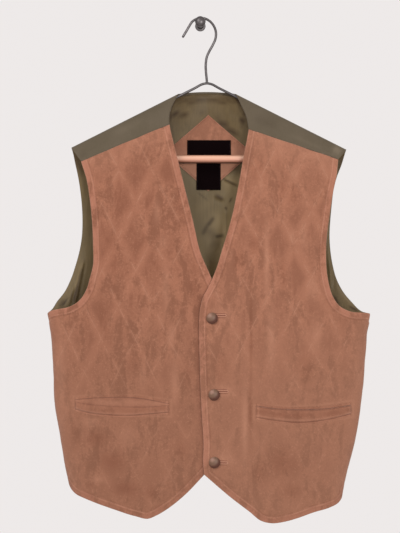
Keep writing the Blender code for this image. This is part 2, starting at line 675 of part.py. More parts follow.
def welt(name):
    """Pocket welt, a folded strip that stands on its front."""
    rows = np.array(WELTS[name])
    order = np.argsort(rows[:, 0])
    along = np.linspace(rows[order[0], 0], rows[order[-1], 0], 13)
    top = smooth(rows[order, 0], rows[order, 1], along)
    bottom = smooth(rows[order, 0], rows[order, 2], along)
    down = np.linspace(0.0, 1.0, 4)[:, None]
    x = np.broadcast_to(along, (4, 13))
    z = bottom + down * (top - bottom)
    laid_on(name, x, z, -1, WELT_GAP, WELT_GAP + WELT_WALL, "suede_edge", over=rows[0, 0] > 0)


def turned(name, profile, steps, finish_name):
    """Turned shape: a profile at +X, top to bottom, carried round Z by a Screw modifier."""
    mesh = bpy.data.meshes.new(name)
    edges = [(i, i + 1) for i in range(len(profile) - 1)]
    mesh.from_pydata([(radius, 0.0, height) for radius, height in profile], edges, [])
    thing = add(name, mesh, finish_name)
    screw = thing.modifiers.new("Screw", "SCREW")
    screw.steps = steps
    screw.render_steps = steps
    screw.use_merge_vertices = True
    screw.merge_threshold = 0.00005
    screw.use_smooth_shade = True
    return thing


def buttons():
    """Domed metal buttons on short shanks, on the left front."""
    r = BUTTON_RADIUS
    rim = 0.0012
    profile = ((0.0, 0.0052), (0.35 * r, 0.0049), (0.68 * r, 0.0041), (0.90 * r, 0.0030),
               (r, 0.0020), (r, rim), (0.45 * r, rim), (0.45 * r, 0.0), (0.0, 0.0))
    for name, (x, z) in BUTTONS.items():
        points, _ = face(phi_of_x(np.array([x]), np.array([z])), np.array([z]), -1, over=True)
        button = turned(name, profile, 18, "button_bronze")
        button.location = (x, float(points[0, 1]) - SEAM, z)
        button.rotation_euler = (math.pi / 2.0, 0.0, 0.0)


def wire(name, points, finish_name):
    """Round wire along points given as x and z in the hanger's plane."""
    curve = bpy.data.curves.new(name, "CURVE")
    curve.dimensions = "3D"
    spline = curve.splines.new("POLY")
    spline.points.add(len(points) - 1)
    for target, (x, z) in zip(spline.points, points):
        target.co = (x, 0.0, z, 1.0)
    curve.bevel_depth = WIRE
    curve.bevel_resolution = 2
    curve.use_fill_caps = True
    return add(name, curve, finish_name)


def hanger():
    """Wire hook and arms, and the thick round bar between the arms' ends."""
    shoulder = np.linspace(0.185, 0.012, 8)
    arm = [(-BAR_HALF - SEAM, BAR_Z)] + [(-x, z) for x, z in ARM_BEND[::-1]]
    arm += [(-x, ARM_TOP - SHOULDER_SLOPE * x) for x in shoulder]
    apex = (0.0, ARM_TOP - SHOULDER_SLOPE * 0.006)
    points = arm + [apex] + [(-x, z) for x, z in arm[::-1]]
    wire("hanger_arms", points, "wire_grey")
    foot = (0.0, apex[1] + WIRE + SEAM)
    hook_x, hook_z, _ = trace((foot,) + HOOK)
    pick = np.linspace(0, len(hook_x) - 1, HOOK_POINTS).astype(int)
    wire("hanger_hook", list(zip(hook_x[pick], hook_z[pick])), "wire_grey")
    mesh = bpy.data.meshes.new("hanger_bar")
    work = bmesh.new()
    bmesh.ops.create_cone(work, cap_ends=True, segments=24, radius1=BAR_RADIUS,
                          radius2=BAR_RADIUS, depth=2.0 * BAR_HALF)
    work.to_mesh(mesh)
    work.free()
    mesh.shade_smooth()
    bar = add("hanger_bar", mesh, "bar_copper")
    bar.location = (0.0, 0.0, BAR_Z)
    bar.rotation_euler = (0.0, math.pi / 2.0, 0.0)
    edge = bar.modifiers.new("Round ends", "BEVEL")
    edge.width = 0.0015
    edge.segments = 2


def peg():
    """Round wall peg: a flange on the wall, a stem and a domed knob."""
    reach = WALL_Y
    profile = ((0.0, reach + 0.0115), (0.55 * PEG_HEAD, reach + 0.0108),
               (0.88 * PEG_HEAD, reach + 0.0088), (PEG_HEAD, reach + 0.0065),
               (0.93 * PEG_HEAD, reach + 0.0045), (PEG_STEM, reach + 0.0040),
               (PEG_STEM, 0.004), (0.92 * PEG_HEAD, 0.004), (PEG_HEAD, 0.003),
               (PEG_HEAD, 0.0), (0.0, 0.0))
    knob = turned("wall_peg", profile, 24, "wire_grey")
    knob.location = (PEG_X, WALL_Y, 0.0)
    knob.rotation_euler = (math.pi / 2.0, 0.0, 0.0)


def main():
    for name in FRONTS:
        front(name)
    back()
    lining()
    patch_and_labels()
    for name in WELTS:
        welt(name)
    buttons()
    hanger()
    peg()


for old in list(bpy.data.objects):
    bpy.data.objects.remove(old, do_unlink=True)
COLLECTION = bpy.data.collections.new("quilted_vest")
bpy.context.scene.collection.children.link(COLLECTION)
CARRIER = bpy.data.objects.new("vest_frame", None)
COLLECTION.objects.link(CARRIER)
CARRIER.location = (-PEG_X, -WALL_Y, 0.0)
main()
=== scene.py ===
"""Looks of a quilted suede vest that hangs, buttoned up, on a wire hanger from a wall peg.

Every cloth surface is a function of two numbers: q runs round the body in the flat of the
pattern and z is the height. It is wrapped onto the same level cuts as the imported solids, and
quilting, turned edges, creases and stitches are raised from there along its normal. Run it as
a script: it registers its operators, calls them in order and finishes the frame.
"""

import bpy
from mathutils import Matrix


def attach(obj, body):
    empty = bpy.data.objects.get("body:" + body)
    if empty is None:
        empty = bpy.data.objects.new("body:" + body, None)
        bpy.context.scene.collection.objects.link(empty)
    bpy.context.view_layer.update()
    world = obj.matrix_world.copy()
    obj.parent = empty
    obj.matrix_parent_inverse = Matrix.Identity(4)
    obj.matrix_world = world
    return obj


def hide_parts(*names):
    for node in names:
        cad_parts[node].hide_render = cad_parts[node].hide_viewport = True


bl_info = {
    "name": "Quilted Suede Vest",
    "version": (1, 0, 0),
    "blender": (4, 5, 0),
    "location": "3D View > Sidebar > Vest",
    "description": "Builds the finished surfaces of a quilted suede vest on its hanger",
    "category": "Object",
}

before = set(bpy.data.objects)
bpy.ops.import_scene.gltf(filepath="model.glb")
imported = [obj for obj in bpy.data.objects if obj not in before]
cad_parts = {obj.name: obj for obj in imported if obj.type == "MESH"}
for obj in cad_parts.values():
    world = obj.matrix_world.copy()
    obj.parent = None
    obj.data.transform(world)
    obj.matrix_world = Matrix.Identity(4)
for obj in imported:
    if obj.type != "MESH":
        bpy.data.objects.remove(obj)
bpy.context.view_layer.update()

import math

import bpy
import numpy as np
from bpy.props import FloatProperty, FloatVectorProperty, PointerProperty

# The hanger's shank and plane in the row frame: the garment is drawn about them
CARRY = np.array((0.0105, -0.055, 0.0))

# Cloth thicknesses and gaps, metres
SUEDE_WALL = 0.0025
BACK_WALL = 0.0012
LINING_WALL = 0.0010
PATCH_WALL = 0.0012
LABEL_WALL = 0.0010
SEAM = 0.0003
PATCH_GAP = 0.0007
LAP_STEP = SUEDE_WALL + 0.0005

# Shoulder line and neck
NECK_HALF = 0.046
NECK_POINT_Z = -0.115
SHOULDER_SLOPE = 0.503
SHOULDER_TIPS = {-1: 0.2165, 1: 0.2225}
NECK_DIP = 0.0055
NOSE_RADIUS = 0.004
NOSE_SPREAD = 0.20
NECK_BULGE = 0.018

# Heights of the underarm, of the middle of the back's hem and of a front's first level row
UNDERARM = -0.4657
BACK_HEM = -0.715
LEVEL_ROW = -0.655

# Step of the turned edge, and the row of stitches beside it: inside the step, below the face
BAND_RISE = 0.00022
SEWN_INSET = 0.0012
SEWN_SINK = 0.00012

# Stitches of the patch and the labels: distance from the edge or the ends, and their length
PATCH_SEWN = 0.0032
LABEL_SEWN = 0.0016
LABEL_STITCH = 0.0026

# Thread radii, and the shares of a stitch's length left free before and after it
EDGE_THREAD = 0.00026
PATCH_THREAD = 0.00024
LABEL_THREAD = 0.00018
EDGE_GAP = 0.08
GAP_BEFORE = 0.10
GAP_AFTER = 0.14

# Edge distance given to cloth whose edges show no stitching
UNSEWN = 0.05

# What the yokes add to the back's cut: length, and height of both for its area
YOKE_LENGTH = 0.05
YOKE_HEIGHT = 0.04

# Buttons, hanger and peg
BUTTON_RADIUS = 0.009
WIRE = 0.002
BAR_RADIUS = 0.0067
BAR_HALF = 0.190
BAR_Z = -0.2193
PEG_X = -0.0105
PEG_STEM = 0.004
PEG_HEAD = 0.0086
WALL_Y = 0.055

# Level cuts: height, half width on the wearer's right and left, depth in front and behind
SECTIONS = np.array((
    (-0.100, 0.2620, 0.2620, 0.036, 0.036),
    (-0.200, 0.2620, 0.2620, 0.039, 0.037),
    (-0.300, 0.2620, 0.2620, 0.042, 0.039),
    (-0.400, 0.2620, 0.2630, 0.044, 0.040),
    (UNDERARM, 0.2545, 0.2603, 0.045, 0.040),
    (-0.500, 0.2475, 0.2545, 0.045, 0.039),
    (-0.540, 0.2455, 0.2520, 0.045, 0.038),
    (-0.603, 0.2425, 0.2460, 0.044, 0.036),
    (-0.667, 0.2330, 0.2365, 0.042, 0.034),
    (-0.731, 0.2215, 0.2200, 0.040, 0.032),
    (-0.760, 0.2150, 0.2150, 0.039, 0.031),
    (-0.800, 0.2100, 0.2100, 0.038, 0.030),
))

# Soft upright folds: side (-1 front, 1 back), x, top, bottom, half width, height
FOLDS = (
    (-1, -0.074, -0.230, -0.520, 0.012, 0.0025),
    (-1, -0.055, -0.570, -0.670, 0.012, 0.0020),
    (-1, -0.174, -0.430, -0.510, 0.009, 0.0015),
    (-1, 0.097, -0.270, -0.520, 0.014, 0.0030),
    (-1, 0.066, -0.570, -0.680, 0.012, 0.0020),
    (1, -0.125, -0.300, -0.700, 0.030, 0.0030),
    (1, -0.035, -0.360, -0.700, 0.028, 0.0025),
    (1, 0.060, -0.290, -0.700, 0.030, 0.0030),
    (1, 0.150, -0.400, -0.720, 0.026, 0.0030),
)

# Outlines as x, z. Armholes run from the yoke seam down, edges from the yoke down to the hem,
# hems from the side seam to the centre.
RIGHT_SEAM = ((-0.2000, -0.2236), (-0.0596, -0.1650))
RIGHT_ARMHOLE = (
    (-0.2000, -0.2236), (-0.1908, -0.2530), (-0.1860, -0.2820), (-0.1823, -0.3149),
    (-0.1803, -0.3604), (-0.1803, -0.3876), (-0.1850, -0.4076), (-0.1912, -0.4275),
    (-0.2024, -0.4441), (-0.2185, -0.4540), (-0.2370, -0.4580), (-0.2480, -0.4605),
)
RIGHT_EDGE = (
    (-0.0596, -0.1650), (-0.0579, -0.1735), (-0.0529, -0.1944), (-0.0443, -0.2289),
    (-0.0345, -0.2686), (-0.0224, -0.3169), (-0.0088, -0.3722), (0.0030, -0.3989),
    (0.0085, -0.4120), (0.0180, -0.4340), (0.0255, -0.4600), (0.0280, -0.5000),
    (0.0280, -0.6000), (0.0283, -0.6870),
)
RIGHT_HEM = (
    (-0.2200, -0.7374), (-0.2169, -0.7444), (-0.2080, -0.7528), (-0.1949, -0.7583),
    (-0.1708, -0.7670), (-0.1476, -0.7745), (-0.1122, -0.7850), (-0.0930, -0.7885),
    (-0.0798, -0.7832), (-0.0629, -0.7730), (-0.0347, -0.7502), (-0.0111, -0.7258),
    (-0.0048, -0.7189), (0.0283, -0.6870),
)
LEFT_SEAM = ((0.2088, -0.2204), (0.0662, -0.1728))
LEFT_ARMHOLE = (
    (0.2088, -0.2204), (0.2057, -0.2463), (0.2005, -0.2706), (0.1964, -0.2949),
    (0.1928, -0.3192), (0.1898, -0.3434), (0.1884, -0.3718), (0.1898, -0.4001),
    (0.1934, -0.4202), (0.1996, -0.4385), (0.2100, -0.4527), (0.2266, -0.4612),
    (0.2433, -0.4636), (0.2530, -0.4639),
)
LEFT_EDGE = (
    (0.0662, -0.1728), (0.0650, -0.1800), (0.0580, -0.2156), (0.0495, -0.2633),
    (0.0378, -0.3169), (0.0236, -0.3643), (0.0138, -0.3958), (0.0000, -0.4265),
    (-0.0063, -0.4382), (-0.0114, -0.4587), (-0.0126, -0.4901), (-0.0118, -0.5373),
    (-0.0103, -0.5845), (-0.0079, -0.6316), (-0.0056, -0.6709), (-0.0063, -0.6976),
    (-0.0046, -0.7180),
)
LEFT_HEM = (
    (0.2177, -0.7466), (0.2158, -0.7560), (0.2109, -0.7650), (0.1950, -0.7732),
    (0.1723, -0.7790), (0.1382, -0.7900), (0.1198, -0.7943), (0.1024, -0.7958),
    (0.0850, -0.7915), (0.0677, -0.7776), (0.0519, -0.7654), (0.0346, -0.7518),
    (0.0189, -0.7384), (-0.0046, -0.7180),
)
RIGHT_BACK_ARMHOLE = (
    (-0.2145, -0.2080), (-0.2110, -0.2260), (-0.2068, -0.2460), (-0.2034, -0.2680),
    (-0.2011, -0.2910), (-0.2001, -0.3140), (-0.2012, -0.3430), (-0.2048, -0.3650),
    (-0.2110, -0.3880), (-0.2187, -0.4110), (-0.2298, -0.4330), (-0.2400, -0.4460),
    (-0.2484, -0.4592),
)
LEFT_BACK_ARMHOLE = (
    (0.2205, -0.2110), (0.2160, -0.2270), (0.2088, -0.2460), (0.2035, -0.2680),
    (0.2008, -0.2910), (0.1987, -0.3140), (0.1974, -0.3430), (0.1988, -0.3650),
    (0.2024, -0.3880), (0.2088, -0.4110), (0.2205, -0.4330), (0.2322, -0.4470),
    (0.2475, -0.4618),
)
RIGHT_YOKE_NECK = ((-0.0470, -0.1160), (-0.0560, -0.1350), (-0.0600, -0.1520), (-0.0596, -0.1650))
LEFT_YOKE_NECK = ((0.0470, -0.1160), (0.0540, -0.1310), (0.0625, -0.1510), (0.0662, -0.1728))

FRONTS = {
    "front_right": {"side": -1, "armhole": RIGHT_ARMHOLE, "edge": RIGHT_EDGE,
                    "hem": RIGHT_HEM, "quilt": (-0.140, -0.345)},
    "front_left": {"side": 1, "armhole": LEFT_ARMHOLE, "edge": LEFT_EDGE,
                   "hem": LEFT_HEM, "quilt": (0.138, -0.250)},
}

# Pocket welts: x, top z, bottom z, from the outer end to the inner end
WELTS = {
    "welt_right": ((-0.2080, -0.5990, -0.6135), (-0.1700, -0.5975, -0.6180),
                   (-0.1200, -0.5965, -0.6214), (-0.0600, -0.6030, -0.6230)),
    "welt_left": ((0.2286, -0.6070, -0.6261), (0.1800, -0.6120, -0.6330),
                  (0.1300, -0.6150, -0.6356), (0.0773, -0.6120, -0.6277)),
}

# Button centres, x and z
BUTTONS = {
    "button_top": (0.0080, -0.4717),
    "button_middle": (0.0113, -0.5920),
    "button_bottom": (0.0119, -0.6986),
}

# Neck patch, a diamond: centre x, centre z, half width, half height
PATCH = (0.0025, -0.2074, 0.0717, 0.0614)

# Labels: left, right, top, bottom
LABELS = {
    "main_label": (-0.0323, 0.0392, -0.1868, -0.2184),
    "size_label": (-0.0169, 0.0225, -0.2190, -0.2668),
}

# Hook wire, x and z, from the end near the arms up and over the peg
HOOK = (
    (-0.0016, -0.0648), (-0.0002, -0.0561), (0.0027, -0.0491), (0.0097, -0.0362),
    (0.0134, -0.0277), (0.0145, -0.0206), (0.0134, -0.0121), (0.0090, -0.0035),
    (0.0041, 0.0015), (-0.0016, 0.0048), (-0.0095, 0.0063), (-0.0173, 0.0043),
    (-0.0230, 0.0008), (-0.0280, -0.0064), (-0.0316, -0.0127), (-0.0380, -0.0234),
)

# One arm of the hanger, x and z, from near the shank to the end of the bar
ARM_TOP = -0.0960
ARM_BEND = ((0.1925, -0.1929), (0.1985, -0.1968), (0.2015, -0.2012), (0.2025, -0.2065),
            (0.2018, -0.2122), (0.1992, -0.2164), (0.1952, -0.2184))

# Steps in from a cut edge, and the cells of the fine grids
EDGE_STEPS = (0.0, 0.0004, 0.0010, 0.0018, 0.0028)
FRONT_COLUMNS = 190
LOW_ROWS = 66
MIDDLE_ROWS = 130
ARM_ROWS = 188
BACK_COLUMNS = 44
NECK_COLUMNS = 46
BACK_SIDE_ROWS = 50
BACK_ARM_ROWS = 70
BACK_TOP_STEPS = (0.0, 0.0003, 0.0007, 0.0013, 0.0021, 0.0032, 0.0046, 0.0065, 0.009, 0.012, 0.016,
                  0.021, 0.027, 0.034, 0.042, 0.051, 0.060, 0.069, 0.078)
LINING_TOP_ROW = 4
YOKE_TOP_STEPS = (0.0, 0.006, 0.014, 0.026, 0.042, 0.062, 0.088, 0.12, 0.16)
YOKE_ROWS = 26
PATCH_CELLS = 72
WELT_COLUMNS = 120

# Buttonholes: half height, radius of the cord and length of a whip, the painted shade strips above,
# below and between as height and thickness, their rise and depth, then both ends and the height of
# each
BUTTONHOLE_HALF = 0.0016
CORD_RADIUS = 0.0008
CORD_WHIP = 0.0009
BUTTONHOLE_LINES = ((0.0032, 0.0007), (-0.0034, 0.0006), (0.0, 0.0010))
LINE_RISE = 0.00012
LINE_SINK = 0.0003
BUTTONHOLES = (
    (0.0090, 0.0285, -0.4674),
    (0.0120, 0.0315, -0.5866),
    (0.0125, 0.0310, -0.6992),
)

# Pockets: x, top of the mouth, lip of the welt, lower seam, from the outer end to the inner end
POCKETS = {
    "welt_right": ((-0.2090, -0.6015, -0.6042, -0.6160), (-0.1880, -0.5992, -0.6075, -0.6212),
                   (-0.1590, -0.5973, -0.6098, -0.6243), (-0.1180, -0.5970, -0.6116, -0.6248),
                   (-0.0875, -0.6010, -0.6110, -0.6222), (-0.0600, -0.6066, -0.6082, -0.6196)),
    "welt_left": ((0.2286, -0.6104, -0.6112, -0.6240), (0.1900, -0.6150, -0.6158, -0.6325),
                  (0.1400, -0.6160, -0.6168, -0.6362), (0.1050, -0.6140, -0.6148, -0.6325),
                  (0.0773, -0.6098, -0.6106, -0.6278)),
}

# Height of a welt's profile, metres: place v, height, and the painted shade of its seams and
# mouth. Its flat base, how far it runs on past both seams, and its gap to the panel.
WELT_BASE = 0.0003
WELT_PAST = 0.010
WELT_GAP = 0.00012
WELT_PROFILE = (
    (-0.30, 0.00030, 0.0), (-0.12, 0.00045, 0.1), (0.0, 0.00040, 0.55), (0.08, 0.00130, 0.15),
    (0.22, 0.00225, 0.0), (0.50, 0.00260, 0.05), (0.80, 0.00240, 0.0), (0.92, 0.00175, 0.1),
    (1.00, 0.00070, 0.6), (1.12, 0.00050, 0.25), (1.50, 0.00060, 0.05), (1.88, 0.00050, 0.3),
    (2.00, 0.00045, 0.75), (2.07, 0.00120, 0.2), (2.18, 0.00110, 0.0), (2.40, 0.00030, 0.0),
)

# Creases: x and z of both ends, half width, height
LINING_CREASES = (
    (-0.056, -0.1480, -0.034, -0.1420, 0.0040, 0.0014),
    (0.030, -0.1440, 0.056, -0.1700, 0.0045, 0.0018),
    (0.024, -0.2475, 0.050, -0.2604, 0.0026, 0.0016),
    (0.012, -0.2750, 0.030, -0.2820, 0.0050, 0.0014),
    (0.032, -0.2960, 0.032, -0.3420, 0.0050, 0.0012),
    (-0.214, -0.4560, -0.199, -0.3800, 0.0030, 0.0030),
    (-0.224, -0.4560, -0.214, -0.4200, 0.0030, 0.0018),
    (-0.206, -0.3800, -0.201, -0.2600, 0.0035, 0.0022),
    (0.200, -0.4300, 0.196, -0.3200, 0.0035, 0.0022),
)
# Dark and pale lines of the lining and the yokes: painted shade along creases, with a few dark
# smudges, and painted highlights (gleams). x and z of both ends, half width, strength
LINING_SHADE_AND_SMUDGES = (
    (-0.052, -0.1272, 0.056, -0.1272, 0.0008, 0.45),
    (-0.040, -0.1215, 0.048, -0.1215, 0.0006, 0.25),
    (-0.060, -0.1455, -0.030, -0.1437, 0.0030, 0.90),
    (-0.015, -0.1480, -0.006, -0.1410, 0.0028, 0.25),
    (0.013, -0.1506, 0.056, -0.1861, 0.0050, 0.85),
    (0.055, -0.1500, 0.060, -0.1635, 0.0036, 0.90),
    (0.024, -0.2475, 0.050, -0.2604, 0.0017, 1.00),
    (0.013, -0.2745, 0.027, -0.2830, 0.0034, 0.90),
    (0.036, -0.2878, 0.041, -0.2781, 0.0016, 0.70),
    (0.029, -0.2940, 0.033, -0.2990, 0.0020, 0.70),
    (-0.016, -0.2700, 0.001, -0.2830, 0.0013, 0.50),
    (0.012, -0.3100, 0.002, -0.3240, 0.0034, 0.75),
    (0.003, -0.3200, -0.008, -0.3400, 0.0036, 0.65),
    (0.002, -0.3290, 0.014, -0.3440, 0.0080, 0.42),
    (0.004, -0.3500, 0.024, -0.3560, 0.0110, 0.42),
    (0.013, -0.3427, 0.028, -0.3394, 0.0032, 0.75),
    (0.032, -0.2960, 0.032, -0.3420, 0.0012, 0.30),
    (-0.201, -0.3920, -0.2095, -0.4250, 0.0016, 0.80),
    (-0.207, -0.4180, -0.2165, -0.4520, 0.0028, 1.00),
    (-0.216, -0.4300, -0.223, -0.4510, 0.0015, 0.70),
    (-0.223, -0.4390, -0.233, -0.4540, 0.0013, 0.75),
    (-0.217, -0.2030, -0.198, -0.2450, 0.0060, 0.70),
    (0.222, -0.2040, 0.206, -0.2450, 0.0060, 0.70),
    (0.204, -0.4360, 0.213, -0.4520, 0.0020, 0.85),
    (0.229, -0.4540, 0.244, -0.4625, 0.0022, 0.90),
    (-0.228, -0.4440, -0.240, -0.4560, 0.0050, 0.55),
    (-0.0525, -0.1195, -0.0597, -0.1394, 0.0018, 0.65),
    (-0.0597, -0.1394, -0.0590, -0.1616, 0.0018, 0.55),
    (-0.0590, -0.1616, -0.0525, -0.1926, 0.0018, 0.45),
    (0.0472, -0.1172, 0.0572, -0.1350, 0.0018, 0.65),
    (0.0572, -0.1350, 0.0672, -0.1550, 0.0018, 0.60),
    (0.0672, -0.1550, 0.0684, -0.1680, 0.0018, 0.50),
    (-0.030, -0.1400, 0.030, -0.1400, 0.0100, 0.12),
)
LINING_GLEAMS = (
    (-0.050, -0.1390, -0.025, -0.1380, 0.0030, 0.30),
    (0.000, -0.1340, 0.050, -0.1350, 0.0040, 0.15),
    (0.020, -0.1500, 0.056, -0.1760, 0.0014, 0.50),
    (0.026, -0.2440, 0.050, -0.2560, 0.0018, 0.40),
    (-0.020, -0.3050, 0.004, -0.2850, 0.0080, 0.30),
    (0.020, -0.3050, 0.018, -0.3300, 0.0060, 0.35),
    (-0.206, -0.4050, -0.220, -0.4450, 0.0020, 0.50),
    (-0.193, -0.2800, -0.192, -0.4000, 0.0040, 0.30),
)
YOKE_FOLD_SHADE = (
    (0.184, -0.2149, 0.207, -0.2193, 0.0018, 0.45),
    (0.143, -0.1987, 0.182, -0.2120, 0.0012, 0.30),
    (0.075, -0.1500, 0.110, -0.1700, 0.0100, 0.20),
    (-0.190, -0.2100, -0.205, -0.2150, 0.0060, 0.18),
)
YOKE_GLEAMS = (
    (0.200, -0.2020, 0.214, -0.2080, 0.0080, 1.00),
    (0.130, -0.1800, 0.180, -0.2020, 0.0030, 0.25),
    (-0.100, -0.1560, -0.150, -0.1800, 0.0070, 0.25),
)
BACK_CREASES = (
    (-0.150, -0.2100, -0.060, -0.3400, 0.016, 0.0022),
    (0.150, -0.2100, 0.050, -0.3300, 0.016, 0.0022),
    (-0.200, -0.4400, -0.080, -0.5400, 0.014, 0.0026),
    (0.205, -0.4400, 0.070, -0.5500, 0.014, 0.0026),
    (-0.215, -0.5600, -0.110, -0.6100, 0.012, 0.0020),
    (0.215, -0.5500, 0.120, -0.6250, 0.012, 0.0020),
    (-0.030, -0.1350, 0.060, -0.1520, 0.007, 0.0012),
)
YOKE_CREASES = (
    (0.150, -0.2020, 0.206, -0.2130, 0.0030, 0.0010),
    (-0.200, -0.2120, -0.160, -0.2010, 0.0035, 0.0008),
    (0.080, -0.1560, 0.130, -0.1840, 0.0060, 0.0008),
    (-0.130, -0.1800, -0.070, -0.1500, 0.0060, 0.0008),
)

# Places of the suede made pale (above 0) or dark (below 0): painted highlights on the ridges of
# the soft folds and painted shade beside them, with rubbed and brushed patches. x, z, half
# width, half height, strength
FOLD_LIGHT_AND_RUBS = (
    (-0.079, -0.305, 0.005, 0.018, 0.50),
    (-0.069, -0.353, 0.007, 0.010, 0.40),
    (-0.065, -0.427, 0.006, 0.036, 0.50),
    (-0.128, -0.279, 0.008, 0.020, -0.50),
    (-0.151, -0.347, 0.010, 0.022, -0.40),
    (-0.019, -0.428, 0.005, 0.024, -0.60),
    (-0.176, -0.408, 0.005, 0.022, 0.40),
    (-0.044, -0.297, 0.007, 0.022, -0.35),
    (0.069, -0.495, 0.002, 0.065, -0.60),
    (0.101, -0.506, 0.007, 0.045, 0.50),
    (0.094, -0.385, 0.004, 0.055, 0.55),
    (0.172, -0.500, 0.010, 0.022, 0.40),
    (0.155, -0.550, 0.012, 0.020, -0.40),
    (0.0595, -0.640, 0.0045, 0.055, 0.65),
    (0.022, -0.550, 0.011, 0.020, -0.40),
    (0.118, -0.700, 0.024, 0.022, -0.70),
    (0.132, -0.745, 0.018, 0.010, -0.50),
    (0.082, -0.715, 0.010, 0.016, -0.40),
    (0.068, -0.622, 0.0028, 0.026, -0.90),
    (-0.176, -0.662, 0.018, 0.012, -0.70),
    (-0.150, -0.698, 0.020, 0.016, -0.80),
    (-0.128, -0.741, 0.020, 0.012, -0.80),
    (-0.185, -0.636, 0.014, 0.008, 0.45),
    (-0.125, -0.658, 0.012, 0.016, 0.30),
    (-0.051, -0.572, 0.006, 0.030, 0.55),
    (-0.055, -0.496, 0.006, 0.014, 0.50),
    (-0.173, -0.727, 0.010, 0.006, 0.50),
    (-0.183, -0.737, 0.008, 0.005, -0.40),
    (-0.041, -0.680, 0.010, 0.014, -0.45),
    (-0.030, -0.558, 0.007, 0.014, -0.45),
    (-0.088, -0.747, 0.012, 0.010, -0.45),
    (-0.101, -0.558, 0.005, 0.020, 0.35),
    (-0.115, -0.542, 0.012, 0.018, -0.40),
    (-0.161, -0.487, 0.007, 0.018, -0.45),
    (-0.232, -0.560, 0.008, 0.060, 0.30),
    (-0.208, -0.653, 0.007, 0.026, -0.35),
    (0.138, -0.244, 0.006, 0.010, 0.40),
    (0.120, -0.271, 0.006, 0.014, -0.40),
    (0.138, -0.278, 0.009, 0.014, -0.35),
    (0.076, -0.358, 0.006, 0.016, -0.50),
    (0.051, -0.382, 0.007, 0.016, -0.45),
    (0.152, -0.345, 0.006, 0.022, 0.40),
    (0.135, -0.343, 0.004, 0.010, 0.50),
    (0.120, -0.400, 0.004, 0.018, -0.40),
    (0.080, -0.239, 0.009, 0.014, -0.35),
    (0.085, -0.262, 0.003, 0.014, 0.40),
    (0.166, -0.425, 0.009, 0.020, 0.45),
)

# Stage: floor, lights as name, place, size and power, and the camera
FLOOR_Z = -1.25
FLOOR_HALF = 2.4
CAMERA_PLACE = (-0.00056, -3.085, -0.3903)
LIGHT_AIM = (0.0, -0.055, -0.42)
CAMERA_LENS = 128.25
LIGHTS = (
    ("key", (-1.3, -2.4, 1.0), 1.2, 32.0),
    ("fill", (0.75, -2.85, -0.2), 0.7, 33.0),
    ("rear", (0.6, 2.4, 0.8), 2.0, 18.0),
)


def ramp(value):
    """Smooth step: 0 below 0, 1 above 1."""
    share = np.clip(value, 0.0, 1.0)
    return share * share * (3.0 - 2.0 * share)


def triple(a, b, c):
    """Three numbers at each point, as one array."""
    return np.stack(np.broadcast_arrays(a, b, c), axis=-1)


def unit(vectors):
    """Vectors brought to length 1."""
    return vectors / np.linalg.norm(vectors, axis=-1, keepdims=True)


def running(steps):
    """Sums of the steps so far, from 0."""
    return np.concatenate(([0.0], np.cumsum(steps)))


def circle(sides):
    """Angles of even points round a circle."""
    return np.arange(sides) / sides * 2.0 * math.pi


def tinted(colour, *factors):
    """Colour with its parts multiplied by one number, or each by its own."""
    return tuple(float(part) for part in np.array(colour) * factors)


def smooth(xs, ys, x):
    """Cubic pieces through the points of a table whose xs rise, with averaged slopes."""
    slope = np.gradient(ys, xs)
    i = np.clip(np.searchsorted(xs, x, side="right") - 1, 0, len(xs) - 2)
    width = xs[i + 1] - xs[i]
    s = np.clip((x - xs[i]) / width, 0.0, 1.0)
    start = (2.0 * s**3 - 3.0 * s**2 + 1.0) * ys[i] + (s**3 - 2.0 * s**2 + s) * width * slope[i]
    end = (3.0 * s**2 - 2.0 * s**3) * ys[i + 1] + (s**3 - s**2) * width * slope[i + 1]
    return start + end


def trace(points, steps=500):
    """Dense smooth line through the points: its two coordinates and the length run so far."""
    points = np.array(points)
    chord = running(np.hypot(*np.diff(points, axis=0).T))
    along = np.linspace(0.0, chord[-1], steps)
    first = smooth(chord, points[:, 0], along)
    second = smooth(chord, points[:, 1], along)
    return first, second, running(np.hypot(np.diff(first), np.diff(second)))


def at_share(line, share):
    """Point of a traced line at a share of its length."""
    first, second, run = line
    place = np.asarray(share) * run[-1]
    return np.interp(place, run, first), np.interp(place, run, second)


def section(z, column):
    """One column of the table of level cuts, at height z."""
    return smooth(SECTIONS[::-1, 0], SECTIONS[::-1, column], z)


def half_width(phi, z):
    """Half width of the cut at z, on the side that the angle phi lies on."""
    return np.where(phi < 0.0, section(z, 1), section(z, 2))


# Length of a unit half ellipse of depth SQUASH from its middle to the angle phi
SQUASH = 0.17
ANGLES = np.linspace(0.0, math.pi / 2.0, 721)
ARC_RATE = np.sqrt(np.cos(ANGLES)**2 + (SQUASH * np.sin(ANGLES))**2)
ARC = running((ARC_RATE[1:] + ARC_RATE[:-1]) / 2.0 * np.diff(ANGLES))


def phi_of_x(x, z):
    """Angle on the cut at z for a width x."""
    return np.arcsin(np.clip(x / half_width(x, z), -1.0, 1.0))


def q_of_x(x, z):
    """Pattern coordinate of a width x at height z."""
    x = np.asarray(x, dtype=float)
    phi = phi_of_x(x, z)
    return np.sign(x) * half_width(x, z) * np.interp(np.abs(phi), ANGLES, ARC)


def phi_of_q(q, z):
    """Angle on the cut at z for a pattern coordinate."""
    return np.sign(q) * np.interp(np.abs(q) / half_width(q, z), ARC, ANGLES)


def ridge(x):
    """Height of the shoulder line at x."""
    return NECK_POINT_Z - SHOULDER_SLOPE * (np.abs(x) - NECK_HALF)


def folds(x, z, side):
    """Height of the soft upright folds on one side of the garment."""
    total = np.zeros(np.broadcast(x, z).shape)
    for fold_side, middle, top, bottom, half, height in FOLDS:
        if fold_side == side:
            run = 0.35 * (top - bottom)
            window = ramp((top - z) / run) * ramp((z - bottom) / run)
            total = total + height * window * np.exp(-((x - middle) / half)**2)
    return total


def lap(x, z):
    """How far the left front stands out where it lies over the right one."""
    return LAP_STEP * ramp((0.078 - x) / 0.044) * ramp((-0.30 - z) / 0.08)


